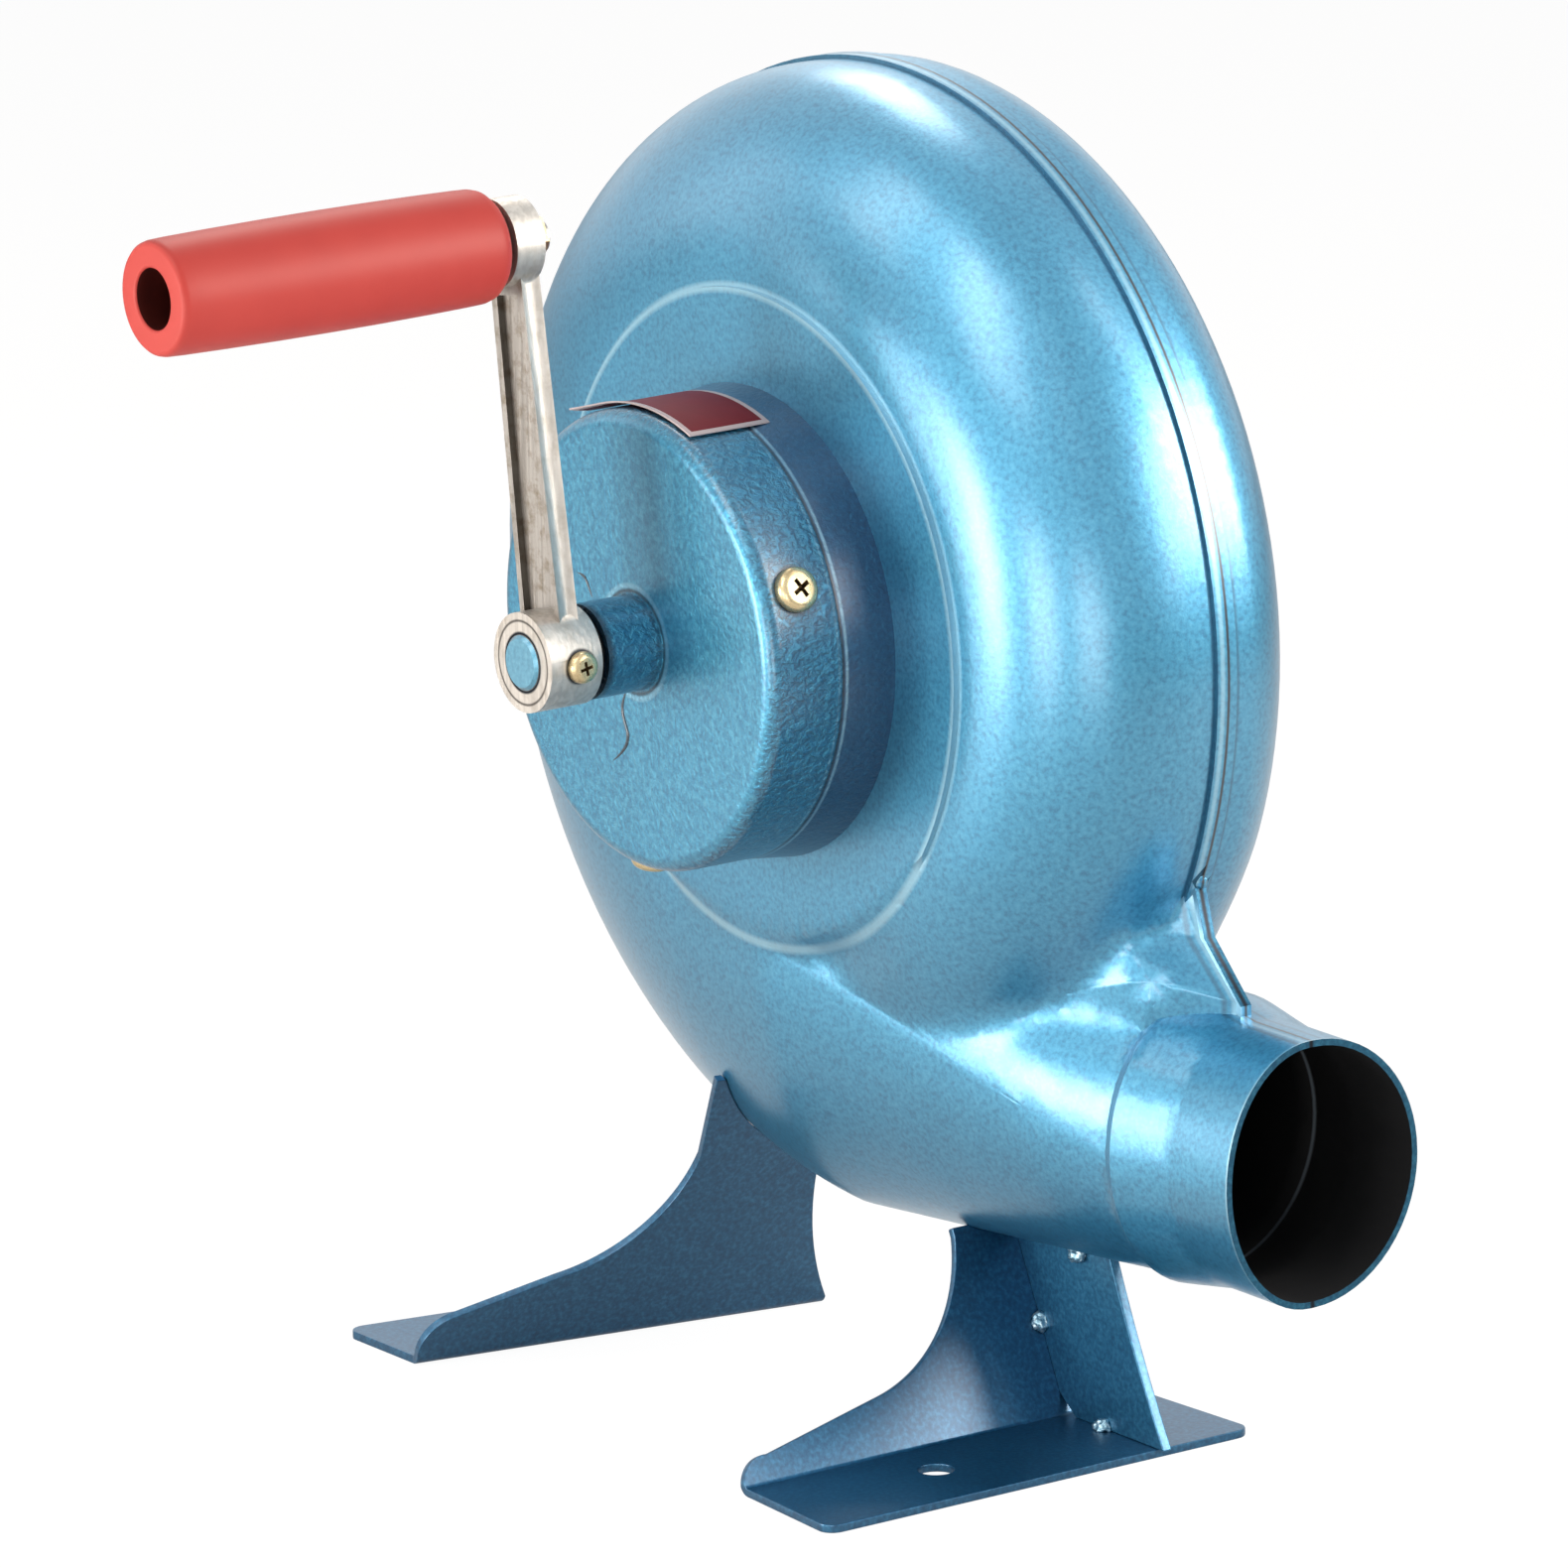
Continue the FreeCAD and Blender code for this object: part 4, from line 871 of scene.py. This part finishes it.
bright_steel = metal("bright_steel", (0.52, 0.52, 0.50, 1), (0.26, 0.26, 0.25, 1), 0.26, lay=(1.0, 3.0, 1.0))
dark_steel = metal("dark_steel", (0.020, 0.020, 0.022, 1), (0.008, 0.008, 0.008, 1), 0.45)
bush_bronze = metal("bush_bronze", (0.44, 0.28, 0.13, 1), (0.18, 0.10, 0.05, 1), 0.34, lay=(1.0, 3.0, 1.0))
fan_metal = metal("fan_metal", (0.50, 0.51, 0.52, 1), (0.30, 0.31, 0.32, 1), 0.36)
zinc = metal("yellow_zinc", (0.60, 0.50, 0.30, 1), (0.36, 0.27, 0.14, 1), 0.22, stain_from=0.52)
plain_finishes = {
    "bright_steel": bright_steel,
    "dark_steel": dark_steel,
    "bush_bronze": bush_bronze,
    "fan_metal": fan_metal,
    "plated_screw": zinc,
}
made_below = {"cover_screws", "crank_set_screw", "crank_shaft", "crank_arm"}
slot_of = {row["node"]: row["material_slot"] for row in frame["record"]["subparts"]}
for body, nodes in frame["record"]["behaviour"]["bodies"].items():
    for node in nodes:
        if slot_of[node] in plain_finishes and node not in made_below:
            piece = copied(node)
            # The washer between hub and boss is near black dark steel: painted shade in the gap.
            finish = dark_steel if node == "crank_washer" else plain_finishes[slot_of[node]]
            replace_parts(dressed(piece, body, finish), node)

# Cross head screws: cold headed steel with a pan head and a tapered cross, plated
# yellow. Three hold the cover round its wall, and a smaller one grips the shaft.
hub_radius = 0.0091
set_screw_head = 0.0029
# The cross recess is coloured darker and browner: painted shade in the recess.
zinc_recess_shade = metal("zinc_recess", (0.20, 0.14, 0.06, 1), (0.07, 0.045, 0.02, 1), 0.5, stain_from=0.35)


def cross_screw(name, head_r, head_height, shank_r, shank_length):
    """A pan head screw standing upright, with its seat at the origin."""
    bpy.ops.mesh.primitive_cylinder_add(
        vertices=64, radius=head_r, depth=head_height, location=(0, 0, head_height / 2),
    )
    screw = bpy.context.object
    screw.name = name
    bpy.ops.object.transform_apply()
    crown = head_height * 0.99
    pick(screw, "EDGE", edges_where(screw, lambda a, b: min(a.z, b.z) > crown))
    bpy.ops.mesh.bevel(offset=head_height * 0.72, segments=7, profile=0.55)
    bpy.ops.object.mode_set(mode="OBJECT")
    pick(screw, "FACE", faces_where(screw, lambda face: face.normal.z < -facing))
    bpy.ops.mesh.inset(thickness=head_r - shank_r)
    bpy.ops.mesh.extrude_region_move(TRANSFORM_OT_translate={"value": (0, 0, -shank_length)})
    bpy.ops.object.mode_set(mode="OBJECT")
    wing_length, wing_width, recess, taper = head_r * 1.18, head_r * 0.27, head_height * 0.62, 0.55
    for turn in (0, 90):
        bpy.ops.mesh.primitive_cube_add(size=1, location=(0, 0, head_height))
        wing = bpy.context.object
        wing.scale = (wing_length, wing_width, 2 * recess)
        wing.rotation_euler = (0, 0, math.radians(turn))
        bpy.ops.object.transform_apply()
        for point in wing.data.vertices:
            if point.co.z < head_height:
                point.co.x *= taper
                point.co.y *= taper
        worked(screw, "punch", "BOOLEAN", operation="DIFFERENCE", object=wing)
        bpy.data.objects.remove(wing)
    screw.data.materials.append(zinc)
    screw.data.materials.append(zinc_recess_shade)
    # Painted shade: the faces in the recess take the darker zinc.
    for face in screw.data.polygons:
        inside = Vector(face.center[:2]).length < wing_length * 0.52
        if inside and 0 < face.center.z < head_height * 0.97:
            face.material_index = 1
    return screw


def seated(screw, name, place, turn, own_turn, body):
    """A copy of a screw, set radially into a round wall, with its cross turned."""
    only(screw)
    bpy.ops.object.duplicate()
    copy = bpy.context.object
    copy.name = name
    copy.matrix_world = (
        Matrix.Translation(place)
        @ Matrix.Rotation(math.pi / 2 - turn, 4, "Y")
        @ Matrix.Rotation(math.radians(own_turn), 4, "Z")
    )
    bpy.ops.object.transform_apply()
    bpy.ops.object.shade_smooth_by_angle(angle=math.radians(35))
    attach(copy, body)
    return copy


cover_screw = cross_screw("cover_screw_master", cover_screw_head, 0.0024, 0.0019, 0.0081)
for number, (seat, turn, own_turn) in enumerate(zip(cover_screw_seats, cover_screw_turns, (28, 75, 50)), 1):
    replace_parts(seated(cover_screw, f"cover_screw_{number}", seat, turn, own_turn, "housing"), "cover_screws")
bpy.data.objects.remove(cover_screw)

set_low, set_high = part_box("crank_set_screw")
set_screw = cross_screw("set_screw_master", set_screw_head, 0.0018, 0.0019, 0.0040)
set_seat = Vector((axle[0] + hub_radius, (set_low.y + set_high.y) / 2, axle[2]))
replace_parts(seated(set_screw, "crank_set_screw_finished", set_seat, 0.0, 12, "crank"), "crank_set_screw")
bpy.data.objects.remove(set_screw)

# The crank arm: cast grey metal of I section, with raised borders round a sunk
# channel on each side. Brown grime sits in the channels, which are also darker
# as painted shade, their walls near black as painted shade, and the hub is faced
# in a lathe.
arm_lean = math.radians(8.2)
arm_across = Vector((math.cos(arm_lean), 0, math.sin(arm_lean)))
arm_along = Vector((-math.sin(arm_lean), 0, math.cos(arm_lean)))
arm_reach = 0.0748
half_at_hub, half_at_eye = 0.0063, 0.0048
channel_from, channel_to = hub_radius + 0.001, arm_reach - 0.0075
hub_bore = 0.0053
hub_gap_ring = 0.0076
side_border = 0.0013
side_channel = 0.0007
flank_area = 0.0002
bed_area = 0.00012
wall_area = 0.00002
hub_gap_shade = (0.012, 0.010, 0.008, 1)

# Cast metal: shallow ribs along the arm, darker streaks between them, and grime.
cast_metal, given, result = group(
    "cast_metal",
    [
        ("Clean", "Color", white), ("Grime", "Color", black), ("Streak", "Color", black),
        ("Grime Share", "Float", 0.5),
    ],
    [("Colour", "Color"), ("Ribs", "Float"), ("Pits", "Float")],
)
point = object_point(cast_metal)
along = add(cast_metal, "ShaderNodeMapping", {
    "Vector": point, "Rotation": (0.0, arm_lean, 0.0), "Scale": (1.0, 1.0, 0.03),
}).outputs[0]
ribs = noise(cast_metal, along, 1000.0, 1.0)
brown = noise(cast_metal, point, 330.0, 5.0, 0.65)
grimy = spread(cast_metal, brown, 0.48, 0.72, 0.0, given["Grime Share"])
streaky = spread(cast_metal, ribs, 0.42, 0.62, 0.0, 0.35)
stained = mixed(cast_metal, grimy, given["Clean"], given["Grime"])
streaked = mixed(cast_metal, streaky, stained, given["Streak"])
put(cast_metal, result, {"Colour": streaked, "Ribs": ribs, "Pits": noise(cast_metal, point, 1300.0, 3.0)})


def cast_grey(name, clean, grime, streak, grime_share):
    """Bare cast metal, with its ribs and pits and the dark rings of the hub, painted shade in its gaps."""
    material, tree, paint = shader(name)
    cast = effect(tree, cast_metal, {
        "Clean": clean, "Grime": grime, "Streak": streak, "Grime Share": grime_share,
    })
    pitted = add(tree, "ShaderNodeBump", {
        "Height": cast["Pits"], "Strength": 0.5, "Distance": 0.00006,
        "Normal": bumped(tree, cast["Ribs"], 0.6, 0.00012),
    })
    put(tree, paint, {
        # Dark rings on the hub: painted shade in the gaps round the shaft, round the hub's ring and round the
        # set screw.
        "Base Color": lined(tree, cast["Colour"], [
            ("ring", hub_bore, 0.00035, dark_joint_and_gap_shade, 1.0),
            ("ring", hub_gap_ring, 0.00025, hub_gap_shade, 0.8),
            (set_seat, set_screw_head, 0.00045, dark_joint_and_gap_shade, 0.9),
        ]),
        "Metallic": 0.85,
        "Roughness": 0.42,
        "Normal": pitted.outputs[0],
    })
    return material


border_metal = cast_grey(
    "crank_metal", (0.57, 0.555, 0.52, 1), (0.34, 0.30, 0.24, 1), (0.32, 0.31, 0.29, 1), 0.5,
)
# Painted shade: darker copies of the arm's metal for its channels and their walls.
channel_metal_painted_shade = cast_grey(
    "crank_channel", (0.39, 0.38, 0.36, 1), (0.19, 0.16, 0.11, 1), (0.21, 0.20, 0.185, 1), 0.9,
)
groove_painted_shade = cast_grey(
    "crank_groove", (0.10, 0.095, 0.085, 1), (0.06, 0.045, 0.03, 1), (0.05, 0.045, 0.04, 1), 0.9,
)
arm = copied("crank_arm")
merge_flats(arm)
for side in (-1, 1):
    pick(arm, "FACE", faces_where(arm, lambda face: face.normal.x * side > facing and face.area > flank_area))
    bpy.ops.mesh.inset(thickness=side_border, depth=-side_channel)
    bpy.ops.object.mode_set(mode="OBJECT")
broken_edges(arm, 0.00025, angle=40)
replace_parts(dressed(arm, "crank", border_metal), "crank_arm")
arm.data.materials.append(channel_metal_painted_shade)
arm.data.materials.append(groove_painted_shade)
# Channel floors take the darker channel metal, painted shade with grime; the channel walls take the near black
# groove metal, painted shade.
for face in arm.data.polygons:
    spot = face.center - Vector(axle)
    reach = spot.dot(arm_along)
    across = abs(spot.dot(arm_across))
    half = half_at_hub + (half_at_eye - half_at_hub) * reach / arm_reach
    between = channel_from < reach < channel_to
    front_wall = abs(face.normal.dot(arm_across)) > 0.8 and across < half - 0.0009
    side_wall = abs(face.normal.y) > 0.8 and across > half - 0.0005 and face.area > wall_area
    if between and (front_wall or side_wall):
        face.material_index = 2
    elif between and face.area > bed_area and face.normal.y < 0.5:
        face.material_index = 1

# The crank shaft: bright turned steel whose bare end took some of the enamel when
# the gear case was sprayed.
shaft_front_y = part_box("crank_shaft")[0].y
sprayed_depth = 0.0007
shaft = copied("crank_shaft")
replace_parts(dressed(shaft, "crank", bright_steel), "crank_shaft")
end_enamel = enamelled(
    "end_enamel", (0.070, 0.280, 0.420, 1), (0.050, 0.230, 0.350, 1), (0.110, 0.340, 0.470, 1),
)
shaft.data.materials.append(end_enamel)
for face in shaft.data.polygons:
    if face.center.y < shaft_front_y + sprayed_depth:
        face.material_index = 1

# The grip: a moulded red plastic sleeve that turns on its pin. It swells a little
# in the middle, is rounded at the rear and has a deep counterbore at the front.
grip_low, grip_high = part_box("handle_grip")
grip_axis = next(joint for joint in frame["joints"] if joint["name"] == "grip_spin")["pos_m"]
grip_bore = 0.0055
bore_margin = 0.0002
mouth_margin = 0.0006
grip_outline = [
    # distance from the rear end, radius, in millimetres
    (0.0, 3.1), (0.0, 6.6), (0.15, 7.9), (0.7, 9.1), (1.7, 9.95), (3.0, 10.3), (6.0, 10.42),
    (14.0, 10.60), (25.0, 10.75), (35.0, 10.80), (46.0, 10.76), (57.0, 10.64), (66.0, 10.48),
    (69.0, 10.36), (69.9, 10.15), (70.35, 9.75), (70.5, 9.2), (70.5, 6.1), (70.4, 5.75), (70.1, 5.5),
    (69.0, 5.5), (50.0, 5.45), (30.5, 5.40), (30.5, 3.1), (0.0, 3.1),
]
grip_moves = [
    ((radius - last_radius) / 1000, -(depth - last_depth) / 1000, 0)
    for (last_depth, last_radius), (depth, radius) in zip([(0.0, 0.0)] + grip_outline, grip_outline)
]
grip = spun("handle_grip_finished", grip_moves, 96, math.tau)
bpy.ops.object.mode_set(mode="EDIT")
bpy.ops.mesh.select_all(action="SELECT")
bpy.ops.mesh.remove_doubles(threshold=0.000002)
bpy.ops.mesh.normals_make_consistent(inside=False)
bpy.ops.object.mode_set(mode="OBJECT")
grip.location = (grip_axis[0], grip_high.y, grip_axis[2])
bpy.ops.object.transform_apply()
grip_red = plain(
    "grip_red", (0.41, 0.036, 0.030, 1), (0.48, 0.050, 0.040, 1), 90.0, 0.5, 0.4,
    (900.0, 2.0, 0.25, 0.00005),
)
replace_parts(dressed(grip, "grip", grip_red, 45), "handle_grip")
# The bore is coloured near black red: painted shade inside the counterbore.
bore_painted_shade = lacquered("bore_painted_shade", (0.020, 0.003, 0.003, 1), (0.060, 0.008, 0.006, 1))
grip.data.materials.append(bore_painted_shade)
for face in grip.data.polygons:
    out = Vector((face.center.x - grip_axis[0], face.center.z - grip_axis[2])).length
    if out < grip_bore + bore_margin and face.center.y > grip_low.y + mouth_margin:
        face.material_index = 1
